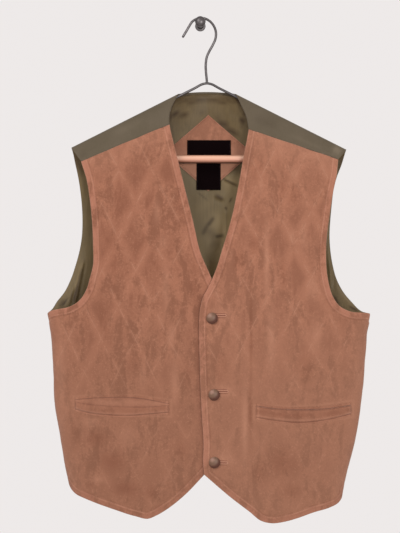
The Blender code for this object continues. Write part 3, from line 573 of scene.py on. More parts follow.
def place(phi, z, side, over):
    """Point of the plain outer face: the cut's ellipse, closed over the shoulders by the nose."""
    width = half_width(phi, z)
    x = width * np.sin(phi)
    full = section(z, 3 if side < 0 else 4) * np.maximum(np.cos(phi), 0.0)
    below = np.maximum(ridge(x) - z, 0.0)
    nose = np.sqrt(2.0 * NOSE_RADIUS * below + (NOSE_SPREAD * below)**2)
    if side > 0:
        swell = np.exp(-(x / 0.04)**2) * np.exp(-((below - 0.02) / 0.12)**2)
        nose = nose + NECK_BULGE * swell * ramp(below / 0.008)
    depth = nose * full / np.cbrt(nose**3 + full**3)
    y = side * (depth + 0.5 * SEAM * (np.abs(x) / width)**8 + folds(x, z, side))
    if over:
        y = y - lap(x, z)
    return triple(x, y, z)


def face(phi, z, side, over=False):
    """Points of the plain outer face and their outward unit normals."""
    phi, z = np.broadcast_arrays(np.asarray(phi, dtype=float), np.asarray(z, dtype=float))
    turn = 1e-3
    lift = 1e-4
    quarter = math.pi / 2.0
    round_way = (place(np.clip(phi + turn, -quarter, quarter), z, side, over)
                 - place(np.clip(phi - turn, -quarter, quarter), z, side, over))
    up_way = place(phi, z + lift, side, over) - place(phi, z - lift, side, over)
    normal = -side * np.cross(round_way, up_way)
    points = place(phi, z, side, over)
    top = ridge(points[..., 0]) - z < 1e-6
    roof = triple(SHOULDER_SLOPE * np.sign(phi), 0.0, 1.0)
    return points, unit(np.where(top[..., None], roof, normal))


def outlines(name):
    """Outline of a front as traced lines of q and z, in order round the panel."""
    panel = FRONTS[name]
    corner = (panel["side"] * float(half_width(panel["side"], UNDERARM)), UNDERARM)
    armhole = np.array(panel["armhole"] + (corner,))
    edge = np.array(panel["edge"])[::-1]
    hem = np.array(panel["hem"])
    hem[0, 0] = panel["side"] * float(half_width(panel["side"], hem[0, 1]))
    lines = {}
    for label, points in (("hem", hem), ("edge", edge), ("armhole", armhole)):
        lines[label] = np.column_stack((q_of_x(points[:, 0], points[:, 1]), points[:, 1]))
    heights = np.linspace(UNDERARM, hem[0, 1], 12)
    side_q = panel["side"] * half_width(panel["side"], heights) * ARC[-1]
    lines["side"] = np.column_stack((side_q, heights))
    lines["yoke"] = np.vstack((lines["edge"][-1], lines["armhole"][0]))
    return {label: trace(points) for label, points in lines.items()}


def nearest(q, z, line):
    """Distance in the pattern from each point to a traced line, and how far along it that is."""
    points = np.column_stack((np.ravel(q), np.ravel(z)))
    target = np.column_stack(line[:2])
    tangent = unit(np.gradient(target, axis=0))
    parts = np.array_split(points, max(1, len(points) // 4000))
    chosen = np.concatenate([
        np.hypot(part[:, :1] - target[:, 0], part[:, 1:] - target[:, 1]).argmin(axis=1)
        for part in parts])
    offset = points - target[chosen]
    half = line[2][-1] / (len(target) - 1)
    low = np.where(chosen == 0, 0.0, -half)
    high = np.where(chosen == len(target) - 1, 0.0, half)
    slide = np.clip((offset * tangent[chosen]).sum(axis=1), low, high)
    away = np.hypot(*(offset - slide[:, None] * tangent[chosen]).T)
    return away.reshape(np.shape(q)), (line[2][chosen] + slide).reshape(np.shape(q))


def nearest_of(q, z, lines):
    """Distance to the nearest of some traced lines, and the run along that one."""
    found = [nearest(q, z, line) for line in lines]
    away = np.stack([one[0] for one in found])
    run = np.stack([one[1] for one in found])
    first = away.argmin(axis=0)[None]
    return np.take_along_axis(away, first, 0)[0], np.take_along_axis(run, first, 0)[0]


def banded(lines):
    """The lines of a front that carry a turned and stitched edge."""
    return [lines[label] for label in ("hem", "edge", "armhole")]


def graded(length, count, start, end):
    """Places along each length: given steps from its start and from its end, even between."""
    length = np.asarray(length, dtype=float)[..., None]
    first = np.array(start)
    last = np.array(end)[::-1]
    inside = count + 1 - len(first) - len(last)
    even = np.arange(1, inside + 1) / (inside + 1.0)
    middle = first[-1] + even * (length - first[-1] - last[0])
    return np.concatenate((first + 0.0 * length, middle, length - last), axis=-1)


def drift(a, b, seed):
    """Smooth random height from -1 to 1: seeded values on whole numbers, joined by smooth steps."""
    values = np.random.default_rng(seed).uniform(-1.0, 1.0, (97, 97))
    a, b = np.broadcast_arrays(a, b)
    i = np.floor(a).astype(int)
    j = np.floor(b).astype(int)
    s = ramp(a - i)
    t = ramp(b - j)
    corner = [[values[(i + m) % 97, (j + n) % 97] for n in (0, 1)] for m in (0, 1)]
    low = corner[0][0] + s * (corner[1][0] - corner[0][0])
    high = corner[0][1] + s * (corner[1][1] - corner[0][1])
    return low + t * (high - low)


def rolled(away, radius):
    """How far a face sinks at its cut edge: a quarter circle of the radius."""
    short = radius - np.clip(away, 0.0, radius)
    return radius - np.sqrt(np.maximum(radius**2 - short**2, 0.0))


def from_segment(x, z, x0, z0, x1, z1):
    """Signed distance from the line through two points, and the share along it."""
    length = math.hypot(x1 - x0, z1 - z0)
    along = ((x - x0) * (x1 - x0) + (z - z0) * (z1 - z0)) / length**2
    across = ((x - x0) * (z1 - z0) - (z - z0) * (x1 - x0)) / length
    return across, along


def creases(x, z, table):
    """Sum of creases: each a round ridge along a line with a narrower valley beside it."""
    total = np.zeros(np.broadcast(x, z).shape)
    for x0, z0, x1, z1, half, height in table:
        across, along = from_segment(x, z, x0, z0, x1, z1)
        window = ramp(along / 0.3 + 0.15) * ramp((1.0 - along) / 0.3 + 0.15)
        ridge_part = np.exp(-(across / half)**2)
        valley = np.exp(-((across - 1.3 * half) / (0.6 * half))**2)
        total = total + height * window * (ridge_part - 0.55 * valley)
    return total


def new_mesh(name, points, faces, marks=None):
    """Smooth mesh in the row frame from points of the garment's frame and rows of faces."""
    mesh = bpy.data.meshes.new(name)
    rows = [row for block in faces for row in block.tolist()]
    mesh.from_pydata(points.reshape(-1, 3) + CARRY, [], rows)
    for label, values in (marks or {}).items():
        layer = mesh.attributes.new(label, "FLOAT_VECTOR", "POINT")
        layer.data.foreach_set("vector", values.reshape(-1).astype(np.float32))
    mesh.shade_smooth()
    mesh.update()
    return mesh


def new_piece(mesh, material, slot, *nodes):
    """Object at the origin that rides on the part's one body and stands for CAD nodes."""
    piece = bpy.data.objects.new(mesh.name, mesh)
    mesh.materials.append(material)
    bpy.context.scene.collection.objects.link(piece)
    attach(piece, "root")
    if nodes:
        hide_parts(*nodes)
    return piece


def cells_of(numbers):
    """Four sided cells of a grid of vertex numbers."""
    return np.stack((numbers[:-1, :-1], numbers[:-1, 1:], numbers[1:, 1:], numbers[1:, :-1]),
                    axis=-1).reshape(-1, 4)


def ring_of(numbers):
    """Vertex numbers round the border of a grid, in the direction of its cells."""
    return np.concatenate((numbers[0, :-1], numbers[:-1, -1], numbers[-1, :0:-1],
                           numbers[:0:-1, 0]))


def grid_wall(name, shown, hidden, marks):
    """Closed wall of two grids: the hidden one has every second point of the shown one, and
    five sided cells join their borders."""
    hidden = hidden[::2, ::2]
    numbers = np.arange(shown[..., 0].size).reshape(shown.shape[:2])
    under = numbers.size + np.arange(hidden[..., 0].size).reshape(hidden.shape[:2])
    ring = ring_of(numbers)
    low = ring_of(under)
    rim = np.stack((np.roll(ring, -2)[::2], np.roll(ring, -1)[::2], ring[::2], low,
                    np.roll(low, -1)), axis=-1)
    faces = [cells_of(numbers), cells_of(under)[:, ::-1], rim]
    across = np.cross(shown[:-1, 1:] - shown[:-1, :-1], shown[1:, :-1] - shown[:-1, :-1])
    outward = (shown[:-1:2, :-1:2] - hidden[:-1, :-1]) * across[::2, ::2]
    if outward.sum() < 0.0:
        faces = [block[:, ::-1] for block in faces]
    points = np.concatenate((shown.reshape(-1, 3), hidden.reshape(-1, 3)))
    both = {label: np.concatenate((values.reshape(-1, 3), values[::2, ::2].reshape(-1, 3)))
            for label, values in marks.items()}
    return new_mesh(name, points, faces, both)


def cell_wall(name, outer, inner, cells, marks):
    """Closed wall of any cells: both faces, and a rim along every free edge."""
    count = len(outer)
    start = cells.ravel()
    end = np.roll(cells, -1, axis=1).ravel()
    free = ~np.isin(start * count + end, end * count + start)
    rim = np.stack((end[free], start[free], start[free] + count, end[free] + count), axis=-1)
    faces = [cells, cells[:, ::-1] + count, rim]
    both = {label: np.concatenate((values, values)) for label, values in marks.items()}
    return new_mesh(name, np.concatenate((outer, inner)), faces, both)


def wrapped(numbers):
    """Rows of vertex numbers with their first number added at the end, so that they close."""
    return np.column_stack((numbers, numbers[:, 0]))


def skin(numbers, pole):
    """Faces of a tube of rings of vertex numbers, closed by the pole and the one after it."""
    first, last = numbers[0], numbers[-1]
    return [cells_of(wrapped(numbers)), triple(np.roll(first, -1), first, pole),
            triple(last, np.roll(last, -1), pole + 1)]


def rings(middle, size, square, up, sides):
    """Round rings of points: middle + size * (cos(angle) * square + sin(angle) * up)."""
    angle = circle(sides)[:, None]
    size = np.asarray(size)[..., None, None]
    return middle[..., None, :] + size * (np.cos(angle) * square[..., None, :]
                                          + np.sin(angle) * up[..., None, :])


def lathe(profile, steps):
    """Profile of radius and height turned round Z: points, and the faces that close them."""
    radius, height = np.array(profile[1:-1]).T[..., None]
    angle = circle(steps)
    ring = triple(radius * np.cos(angle), radius * np.sin(angle), height).reshape(-1, 3)
    poles = np.array(((0.0, 0.0, profile[0][1]), (0.0, 0.0, profile[-1][1])))
    faces = skin(np.arange(len(ring)).reshape(-1, steps), len(ring))
    return np.concatenate((ring, poles)), [block[:, ::-1] for block in faces]


def rounded(profile, steps=6, share=0.35):
    """Profile with its corners cut by short arcs: each corner becomes a quadratic curve."""
    points = np.array(profile)
    bend = np.linspace(0.0, 1.0, steps)[:, None]
    rows = [points[:1]]
    for before, corner, after in zip(points[:-2], points[1:-1], points[2:]):
        start = corner + share * (before - corner)
        end = corner + share * (after - corner)
        rows.append((1 - bend)**2 * start + 2 * bend * (1 - bend) * corner + bend**2 * end)
    rows.append(points[-1:])
    return np.concatenate(rows)


def tube(path, radius, sides=20):
    """Round wire along a path in the hanger's plane, its ends closed by half balls."""
    path = np.array(path)
    tangent = unit(np.gradient(path, axis=0))
    turn = np.linspace(0.0, math.pi / 2.0, 6)[:-1]
    start = path[0] - np.outer(radius * np.cos(turn), tangent[0])
    end = path[-1] + np.outer(radius * np.cos(turn[::-1]), tangent[-1])
    middle = np.concatenate((start, path[1:-1], end))
    along = np.concatenate((np.tile(tangent[0], (5, 1)), tangent[1:-1],
                            np.tile(tangent[-1], (5, 1))))
    size = np.full(len(middle), radius)
    size[:5] = radius * np.sin(turn)
    size[-5:] = radius * np.sin(turn[::-1])
    out = np.array((0.0, 1.0, 0.0))
    ring = rings(middle, size, np.cross(along, out), out, sides)[1:-1]
    numbers = np.arange(ring[..., 0].size).reshape(-1, sides)
    points = np.concatenate((ring.reshape(-1, 3), middle[:1], middle[-1:]))
    return points, skin(numbers, numbers.size)


# One stitch: shares along it, its radius there and its rise, and the sides of its thread
STITCH_SHARES = np.array((0.16, 0.5, 0.84))
STITCH_SWELL = np.array((0.8, 1.0, 0.8))
STITCH_SIDES = 6


def stitches(starts, ends, ups, radius):
    """Thread stitches: short rods that rise from the cloth at one point and dive at the next."""
    along = (ends - starts)[:, None]
    ups = ups[:, None]
    lift = radius * np.sin(math.pi * STITCH_SHARES)
    middle = starts[:, None] + STITCH_SHARES[:, None] * along + lift[:, None] * ups
    ring = rings(middle, radius * STITCH_SWELL, unit(np.cross(ups, along)), ups, STITCH_SIDES)
    poles = np.stack((starts, ends), axis=1) - 0.6 * radius * ups
    points = np.concatenate((ring.reshape(len(starts), -1, 3), poles), axis=1)
    pole = 3 * STITCH_SIDES
    faces = skin(np.arange(pole).reshape(3, STITCH_SIDES), pole)
    first = (np.arange(len(starts)) * (pole + 2))[:, None, None]
    return points.reshape(-1, 3), [(first + block).reshape(-1, block.shape[1]) for block in faces]


def sewn_row(points, ups, radius, before=GAP_BEFORE):
    """Stitches along a row of points, one from each point towards the next."""
    step = points[1:] - points[:-1]
    return stitches(points[:-1] + before * step, points[1:] - GAP_AFTER * step, ups[:-1], radius)


def joined(parts):
    """Several sets of points and faces as one."""
    points = []
    faces = []
    count = 0
    for some, blocks in parts:
        points.append(some)
        faces += [block + count for block in blocks]
        count += len(some)
    return np.concatenate(points), faces


class Value:
    """A material's socket that takes part in Python arithmetic through Math nodes."""

    def __init__(self, tree, socket):
        self.tree = tree
        self.socket = socket

    def math(self, operation, *others):
        """This value and others through one Math node."""
        return self.tree.make("ShaderNodeMath", {"operation": operation},
                              dict(enumerate((self, *others))))

    def __add__(self, other):
        return self.math("ADD", other)

    def __sub__(self, other):
        return self.math("SUBTRACT", other)

    def __mul__(self, other):
        return self.math("MULTIPLY", other)

    def __truediv__(self, other):
        return self.math("DIVIDE", other)

    def __rsub__(self, other):
        return self.tree.make("ShaderNodeMath", {"operation": "SUBTRACT"}, {0: other, 1: self})

    def __abs__(self):
        return self.math("ABSOLUTE")

    __radd__ = __add__
    __rmul__ = __mul__


class Tree:
    """Nodes of one material; every node comes from make."""

    def __init__(self, name, **constants):
        self.material = bpy.data.materials.new(name)
        self.material.use_nodes = True
        self.nodes = self.material.node_tree.nodes
        self.links = self.material.node_tree.links
        self.shader = self.nodes["Principled BSDF"]
        for label, value in constants.items():
            self.shader.inputs[label.replace("_", " ")].default_value = value

    def make(self, kind, settings=None, inputs=None, output=0):
        """Node of a kind: its settings, then the values or links of its sockets."""
        node = self.nodes.new(kind)
        for label, value in (settings or {}).items():
            setattr(node, label, value)
        for label, value in (inputs or {}).items():
            if isinstance(value, Value):
                self.links.new(value.socket, node.inputs[label])
            else:
                node.inputs[label].default_value = value
        return Value(self, node.outputs[output])

    def mark(self, label):
        """The three numbers of a vertex attribute."""
        vector = self.make("ShaderNodeAttribute", {"attribute_name": label}, output=1)
        return [self.make("ShaderNodeSeparateXYZ", inputs={0: vector}, output=k) for k in range(3)]

    def place(self, scale=(1.0, 1.0, 1.0)):
        """Object coordinates, stretched."""
        vector = self.make("ShaderNodeTexCoord", output=3)
        return self.make("ShaderNodeVectorMath", {"operation": "MULTIPLY"}, {0: vector, 1: scale})

    def noise(self, vector, scale, detail=2.0, roughness=0.5, distortion=0.0):
        """Cloudy noise from 0 to 1."""
        return self.make("ShaderNodeTexNoise", inputs={
            "Vector": vector, "Scale": scale, "Detail": detail, "Roughness": roughness,
            "Distortion": distortion})

    def step(self, value, low, high):
        """Smooth step of a value between two others."""
        return self.make("ShaderNodeMapRange", {"interpolation_type": "SMOOTHSTEP"},
                         {0: value, 1: low, 2: high, 3: 0.0, 4: 1.0})

    def mix(self, share, first, second):
        """Blend of two colours."""
        first, second = ((*one, 1.0) if isinstance(one, tuple) else one for one in (first, second))
        return self.make("ShaderNodeMix", {"data_type": "RGBA"},
                         {0: share, 6: first, 7: second}, output=2)

    def bump(self, height):
        """Normal bent by a height in metres."""
        return self.make("ShaderNodeBump", inputs={"Distance": 1.0, "Height": height})

    def finish(self, **links):
        """Links values to the shader's sockets."""
        for label, value in links.items():
            self.links.new(value.socket, self.shader.inputs[label.replace("_", " ")])
        return self.material


def line_mask(tree, value, middle, half):
    """1 on a line where the value is middle, fading out at half a width from it."""
    return 1.0 - tree.step(abs(value - middle), 0.3 * half, half)


def suede(name, look, redder=0.0):
    """Brushed suede: mottled nap, pale scuffed stitch lines, pale turned edge, sewn grooves, and
    painted highlights and painted shade from its marks, with the lower fronts painted darker.
    """
    tree = Tree(name, Sheen_Weight=0.40, Sheen_Roughness=0.40, Sheen_Tint=(1.0, 0.82, 0.74, 1.0),
                Specular_IOR_Level=0.12)
    _, z, away = tree.mark("cut")
    rise, fall, keep = tree.mark("quilt")
    run, wear_and_light, painted_shade = tree.mark("wear_light_shade")
    place = tree.place()
    upright = tree.place((1.0, 1.0, 0.30))
    clouds = tree.noise(place, 14.0, 3.0, 0.55)
    streaks = tree.noise(upright, 52.0, 4.0, 0.62, 0.6)
    blots = tree.noise(place, 105.0, 3.0, 0.62, 0.4)
    flecks = tree.noise(place, 330.0, 3.0, 0.65)
    nap = tree.noise(place, 1300.0, 2.0, 0.6)
    reach = 1.0 / math.hypot(1.0 / look.diamond_width, 1.0 / look.diamond_height)
    to_rise = abs(rise - rise.math("ROUND")) * reach
    to_fall = abs(fall - fall.math("ROUND")) * reach
    to_line = to_rise.math("MINIMUM", to_fall) + (blots - 0.5) * 0.0020
    breaks = tree.step(tree.noise(place, 46.0, 3.0, 0.65), 0.42, 0.60)
    lines = line_mask(tree, to_line, 0.0, 0.0010) * keep * breaks
    halo = line_mask(tree, to_line, 0.0, 0.0045) * keep * breaks
    specks = tree.step(flecks, 0.58, 0.72)
    inside = 0.55 + tree.step(to_line, 0.003, 0.014) * keep * 0.45
    brushed = inside * tree.step(streaks + clouds * 0.8 + blots * 0.25, 0.90, 1.20)
    band = 1.0 - tree.step(away, 0.0086, 0.0108)
    # Pale line at the cut edge: painted highlight where the edge is also rubbed. Pale line at the
    # band's inner border (bead): painted highlight. Groove line: painted shade beside the band's
    # step.
    edge_rub_and_highlight = 1.0 - tree.step(away, 0.0, 0.0022)
    bead = line_mask(tree, away, 0.0086, 0.0014)
    groove = line_mask(tree, away, 0.0112, 0.0016)
    inner = line_mask(tree, away, 0.0066, 0.0016)
    # Painted shade: the suede is darkened towards the bottom of the fronts (low)
    low = 1.0 - tree.step(z, -0.66, -0.36)
    hem = 1.0 - tree.step(z, -0.735, -0.670)
    tone = clouds * 0.55 + streaks * 1.05 + blots * 0.40 + flecks * 0.25
    patchy = tree.step(streaks + blots * 0.6, 0.70, 0.92)
    layers = (
        (brushed * 0.82, look.suede_brushed),
        (low * 0.38, look.suede_dusty),
        (specks * 0.30, look.suede_scuffed),
        (halo * 0.14, look.suede_scuffed),
        (lines * 0.40, look.suede_scuffed),
        # Rubbed pale and brushed dark patches, together with painted highlights on fold ridges,
        # painted shade beside them and a painted lift of the whole left front
        (wear_and_light.math("MAXIMUM", 0.0) * 0.60, look.suede_scuffed),
        ((0.0 - wear_and_light).math("MAXIMUM", 0.0) * 0.75, look.suede_brushed),
        (band * (0.05 + patchy * 0.36), look.suede_edge),
        (band * hem * (0.04 + streaks * 0.22), look.suede_brushed),
        # Painted highlights along the edge and the band's inner border; painted shade in the groove
        (edge_rub_and_highlight * (0.10 + blots * 0.4), look.suede_scuffed),
        (inner * 0.10, look.suede_brushed),
        (bead * (0.08 + breaks * 0.38), look.suede_scuffed),
        (groove * (1.0 - breaks) * 0.35, look.suede_brushed),
        # Painted shade: seams, welt mouths, and the right front beside the left front's edge
        (painted_shade * 0.80, look.suede_shadow),
    )
    colour = tree.mix(tree.step(tone, 0.95, 1.29), look.suede_deep, look.suede_pale)
    for share, shade in layers:
        colour = tree.mix(share, colour, shade)
    if redder:
        colour = tree.mix(redder, colour, look.suede_facing)
    speck = tree.mix(nap, (0.78, 0.77, 0.76), (1.22, 1.23, 1.24))
    colour = tree.make("ShaderNodeMix", {"data_type": "RGBA", "blend_type": "MULTIPLY"},
                       {0: 0.8, 6: colour, 7: speck}, output=2)
    dash = tree.step(abs((run / look.stitch_length).math("FRACT") - 0.5), 0.18, 0.40)
    height = (nap * 0.00020 + flecks * 0.00034 + blots * 0.0007 + streaks * 0.0008
              - lines * 0.0003 + bead * 0.0001 - groove * 0.00005 - bead * dash * 0.0001
              - painted_shade * 0.0004)
    return tree.finish(Base_Color=colour, Roughness=0.86 + nap * 0.12, Normal=tree.bump(height))


def woven(name, colour, deep, look, thread, sheen=0.0, streak=0.1, coarse=0.00010, rough=0.72,
          shine=0.3, folded=False):
    """Plain woven cloth: two sets of threads that cross, slubs and soft cloudy tone, and painted
    shade and highlights of folds when folded.
    """
    tree = Tree(name, Sheen_Weight=sheen, Sheen_Roughness=0.35, Specular_IOR_Level=shine)
    q, z, away = tree.mark("cut")
    place = tree.place()
    clouds = tree.noise(place, 14.0, 3.0, 0.6)
    slubs = tree.noise(tree.place((1.0, 1.0, 0.08)), 420.0, 2.0, 0.6)
    turn = 2.0 * math.pi / thread
    warp = (q * turn).math("SINE")
    weft = (z * turn).math("SINE")
    weave = warp * weft
    shade = tree.step(clouds * 0.7 + slubs * streak * 3.0, 0.25, 0.75)
    base = tree.mix(shade, deep, colour)
    stitched = line_mask(tree, away, look.cloth_edge, 0.0007)
    base = tree.mix(stitched * 0.5, base, deep)
    if folded:
        # Painted fold shade (dark), painted highlights (pale) and a painted glow (bright)
        dark, pale, painted_glow = tree.mark("fold_shade_and_gleam")
        base = tree.mix(pale, base, tinted(colour, 2.0, 2.04, 2.15))
        base = tree.mix(painted_glow, base, tinted(colour, 3.4))
        base = tree.mix(dark, base, tinted(deep, 0.40, 0.30, 0.22))
    height = weave * (0.25 * coarse) + slubs * coarse - stitched * 0.0003
    return tree.finish(Base_Color=base, Roughness=rough + slubs * 0.1, Normal=tree.bump(height))


def wire_metal(name, colour):
    """Grey wire with a cloudy, lightly worn skin."""
    tree = Tree(name, Metallic=0.8)
    place = tree.place()
    clouds = tree.noise(place, 120.0, 3.0, 0.65)
    grain = tree.noise(place, 1080.0, 2.0, 0.6)
    base = tree.mix(tree.step(clouds + grain * 0.4, 0.5, 1.0), tinted(colour, 0.6), colour)
    return tree.finish(Base_Color=base, Roughness=0.28 + clouds * 0.18,
                       Normal=tree.bump(clouds * 0.00012 + grain * 0.00003))


def bronze(name, look):
    """Worn bronze dome with painted light: a painted highlight at its upper left, painted shade
    towards its lower right and its rim.
    """
    tree = Tree(name, Metallic=0.10, Specular_IOR_Level=0.35)
    across, up, out = tree.mark("dome")
    grain = tree.noise(tree.place(), 600.0, 2.0, 0.6)
    lit = up * 0.6 - across * 0.5 - out * out * 0.5 + (grain - 0.5) * 0.25
    base = tree.mix(tree.step(lit, -0.62, -0.02), look.bronze_deep, look.bronze)
    base = tree.mix(tree.step(lit, 0.06, 0.42), base, look.bronze_pale)
    return tree.finish(Base_Color=base, Roughness=0.40 + grain * 0.15)


def copper(name, look):
    """Copper coloured bar with painted light: a painted highlight along its top, painted shade
    underneath and a painted shadow line at its bottom.
    """
    tree = Tree(name, Metallic=0.15, Coat_Weight=0.5, Coat_Roughness=0.2)
    height = tree.make("ShaderNodeSeparateXYZ", inputs={0: tree.place()}, output=2)
    turn = (height - BAR_Z) / BAR_RADIUS
    grain = tree.noise(tree.place((0.2, 1.0, 1.0)), 500.0, 2.0, 0.6)
    base = tree.mix(tree.step(turn + grain * 0.1, -0.95, 0.15), look.bar_deep, look.bar)
    base = tree.mix(line_mask(tree, turn, 0.50, 0.50) * 0.75, base, look.bar_pale)
    shadow = tinted(look.bar_deep, 0.16, 0.09, 0.05)
    base = tree.mix((1.0 - tree.step(turn, -0.95, -0.50)) * 0.9, base, shadow)
    return tree.finish(Base_Color=base, Roughness=0.26 + grain * 0.1)


def thread(name, colour):
    """Twisted sewing thread."""
    tree = Tree(name, Sheen_Weight=0.1, Roughness=0.8, Specular_IOR_Level=0.2)
    noise = tree.noise(tree.place(), 1500.0, 2.0, 0.6)
    return tree.finish(Base_Color=tree.mix(noise, tinted(colour, 0.72), colour),
                       Normal=tree.bump(noise * 0.0001))


def near_trim(x, z, side, buttons=True):
    """Distance in the pattern from the nearest welt or button of one front."""
    away = np.full(np.shape(x), 1.0)
    for rows in WELTS.values():
        rows = np.array(rows)
        if np.sign(rows[0, 0]) == side:
            order = np.argsort(rows[:, 0])
            across = np.maximum(rows[order[0], 0] - x, x - rows[order[-1], 0])
            above = z - np.interp(x, rows[order, 0], rows[order, 1])
            under = np.interp(x, rows[order, 0], rows[order, 2]) - z
            away = np.minimum(away, np.maximum(across, np.maximum(above, under)))
    if buttons:
        for middle, height in BUTTONS.values():
            away = np.minimum(away, np.hypot(x - middle, z - height) - 0.004)
    return away


def on_front(name, q, z, lines, look):
    """Suede face of a front: its points, normals, sink of the cut edges, and its marks."""
    panel = FRONTS[name]
    side = panel["side"]
    points, normals = face(phi_of_q(q, z), z, -1, over=side > 0)
    x = points[..., 0]
    a = (q - panel["quilt"][0] + 0.0012 * drift(q / 0.05, z / 0.04, 7)) / look.diamond_width
    b = (z - panel["quilt"][1] + 0.0024 * drift(q / 0.04, z / 0.05, 8)) / look.diamond_height
    rise, fall = a + b, a - b
    away, run = nearest_of(q, z, banded(lines))
    seam, _ = nearest_of(q, z, (lines["side"], lines["yoke"]))
    clear = ramp((near_trim(x, z, side) - 0.004) / 0.012)
    under_lap = ramp((x + 0.030) / 0.012) * ramp((-0.41 - z) / 0.02) if side < 0 else 0.0 * x
    inside = ramp((away - look.edge_band - 0.0005) / 0.004) * clear * (1.0 - under_lap)
    fade = 1.0 - 0.45 * ramp((-0.50 - z) / 0.12)
    waves = (np.sin(math.pi * rise)**2 + 0.015) * (np.sin(math.pi * fall)**2 + 0.015)
    height = look.puff * fade * inside * waves**0.25
    height = height + BAND_RISE * (1.0 - ramp((away - look.edge_band) / 0.001)) * (1.0 - under_lap)
    wave = drift(q / 0.016, z / 0.034, 3) * 0.0004 + drift(q / 0.007, z / 0.010, 5) * 0.00015
    height = height + wave * clear * (1.0 - under_lap)
    sink = rolled(np.minimum(away, seam + 0.0003), 0.0012)
    lines_keep = inside * (1.0 - 0.6 * ramp((-0.46 - z) / 0.14))
    # A pale ring round each welt, and paler suede near the side and yoke seams. The whole left front
    # is made paler than the right: painted light.
    wear_and_light = 0.35 * np.exp(-((near_trim(x, z, side, False) - 0.0035) / 0.0016)**2)
    wear_and_light = wear_and_light + (0.20 if side > 0 else 0.04) + 0.38 * np.exp(-(seam / 0.028)**2)
    # Painted highlights on the ridges of the soft folds and painted shade beside them, with rubbed
    # and brushed patches
    for middle, level, wide, high, strength in FOLD_LIGHT_AND_RUBS:
        if (middle < 0.0) == (side < 0):
            wear_and_light = wear_and_light + strength * np.exp(-((x - middle) / wide)**2 - ((z - level) / high)**2)
    for middle, level in BUTTONS.values():
        spot = ((x - middle - 0.012) / 0.016)**2 + ((z - level - 0.005) / 0.009)**2
        wear_and_light = wear_and_light + 0.5 * np.exp(-spot) * (side > 0)
    # Painted shadow on the right front along the left front's overlapping edge, below the V
    edge = np.array(LEFT_EDGE)[::-1]
    past = np.interp(z, edge[:, 1], edge[:, 0]) - x
    shade = np.exp(-np.maximum(past, 0.0) / 0.0035) * ramp((-0.415 - z) / 0.02) * (side < 0)
    marks = {"cut": triple(q, z, away), "quilt": triple(rise, fall, lines_keep),
             "wear_light_shade": triple(run, wear_and_light, 0.55 * shade)}
    return points, normals, height - sink, sink, marks


def front_grid(name, lines):
    """Pattern points of a front: rows from the hem up, columns from the outer edge inwards.

    Below the underarm a row is level and takes up the shape of the hem. Above it a row joins
    equal shares of the armhole and of the neck edge.
    """
    side = FRONTS[name]["side"]
    hem, edge, armhole = lines["hem"], lines["edge"], lines["armhole"]
    low = graded(0.1, LOW_ROWS, EDGE_STEPS, (0.0,))[:-1] / 0.1
    middle = np.linspace(LEVEL_ROW, UNDERARM, MIDDLE_ROWS + 1)[:-1]
    share = graded(armhole[2][-1], ARM_ROWS, (0.0,), EDGE_STEPS) / armhole[2][-1]
    outer_z = np.concatenate((hem[1][0] + low * (LEVEL_ROW - hem[1][0]), middle))
    inner_z = np.concatenate((hem[1][-1] + low * (LEVEL_ROW - hem[1][-1]), middle))
    arm_q, arm_z = at_share(armhole, 1.0 - share)
    start = np.interp(UNDERARM, edge[1], edge[2]) / edge[2][-1]
    neck_q, neck_z = at_share(edge, start + share * (1.0 - start))
    outer_q = np.concatenate((side * half_width(side, outer_z) * ARC[-1], arm_q))
    inner_q = np.concatenate((np.interp(inner_z, edge[1], edge[0]), neck_q))
    outer_z = np.concatenate((outer_z, arm_z))
    inner_z = np.concatenate((inner_z, neck_z))
    width = np.abs(inner_q - outer_q)
    share = graded(width, FRONT_COLUMNS, EDGE_STEPS, EDGE_STEPS) / width[:, None]
    q = outer_q[:, None] + share * (inner_q - outer_q)[:, None]
    z = outer_z[:, None] + share * (inner_z - outer_z)[:, None]
    keep = np.concatenate((1.0 - ramp(low), np.zeros(len(outer_z) - len(low))))
    order = np.argsort(hem[0])
    hem_z = np.interp(q[0], hem[0][order], hem[1][order])
    return q, z + keep[:, None] * (hem_z - z[0])


def declare_cloth(piece, q, z, more_length=0.0, more_area=0.0):
    """Works out what a hung cloth piece was cut to, from its pattern grid and what the grid leaves
    out; the result is not kept, and the piece given is not used.

    The area is the sum of half the cross product of the two diagonals of every cell.
    """
    cells = np.abs((q[:-1, :-1] - q[1:, 1:]) * (z[:-1, 1:] - z[1:, :-1])
                   - (q[:-1, 1:] - q[1:, :-1]) * (z[:-1, :-1] - z[1:, 1:])) / 2.0
    wide = float(np.ptp(q))
    long = float(np.ptp(z)) + more_length
    min(float(cells.sum()) + more_area, wide * long)


def suede_front(name, look, material):
    """One quilted front."""
    lines = outlines(name)
    q, z = front_grid(name, lines)
    points, normals, height, sink, marks = on_front(name, q, z, lines, look)
    shown = points + height[..., None] * normals
    hidden = points - (SUEDE_WALL - sink)[..., None] * normals
    mesh = grid_wall("suede_" + name, shown, hidden, marks)
    declare_cloth(new_piece(mesh, material, "suede", name), q, z)


def inset_line(line, lines, away, step):
    """Even points on a line inside a banded outline, clear of the panel's other edges."""
    edge = np.column_stack(line[:2])
    along = unit(np.gradient(edge, axis=0))
    middle = np.array([np.mean(np.concatenate([one[k] for one in lines.values()])) for k in (0, 1)])
    square = along[:, ::-1] * (1.0, -1.0)
    square = square * np.sign((square * (middle - edge)).sum(axis=1).mean())
    moved = edge + away * square
    clear = nearest_of(moved[:, 0], moved[:, 1], banded(lines))[0] > away - 0.0002
    clear &= nearest_of(moved[:, 0], moved[:, 1], (lines["side"], lines["yoke"]))[0] > 0.0012
    moved = moved[clear]
    run = running(np.hypot(*np.diff(moved, axis=0).T))
    places = np.arange(0.0, run[-1], step)
    return np.interp(places, run, moved[:, 0]), np.interp(places, run, moved[:, 1])


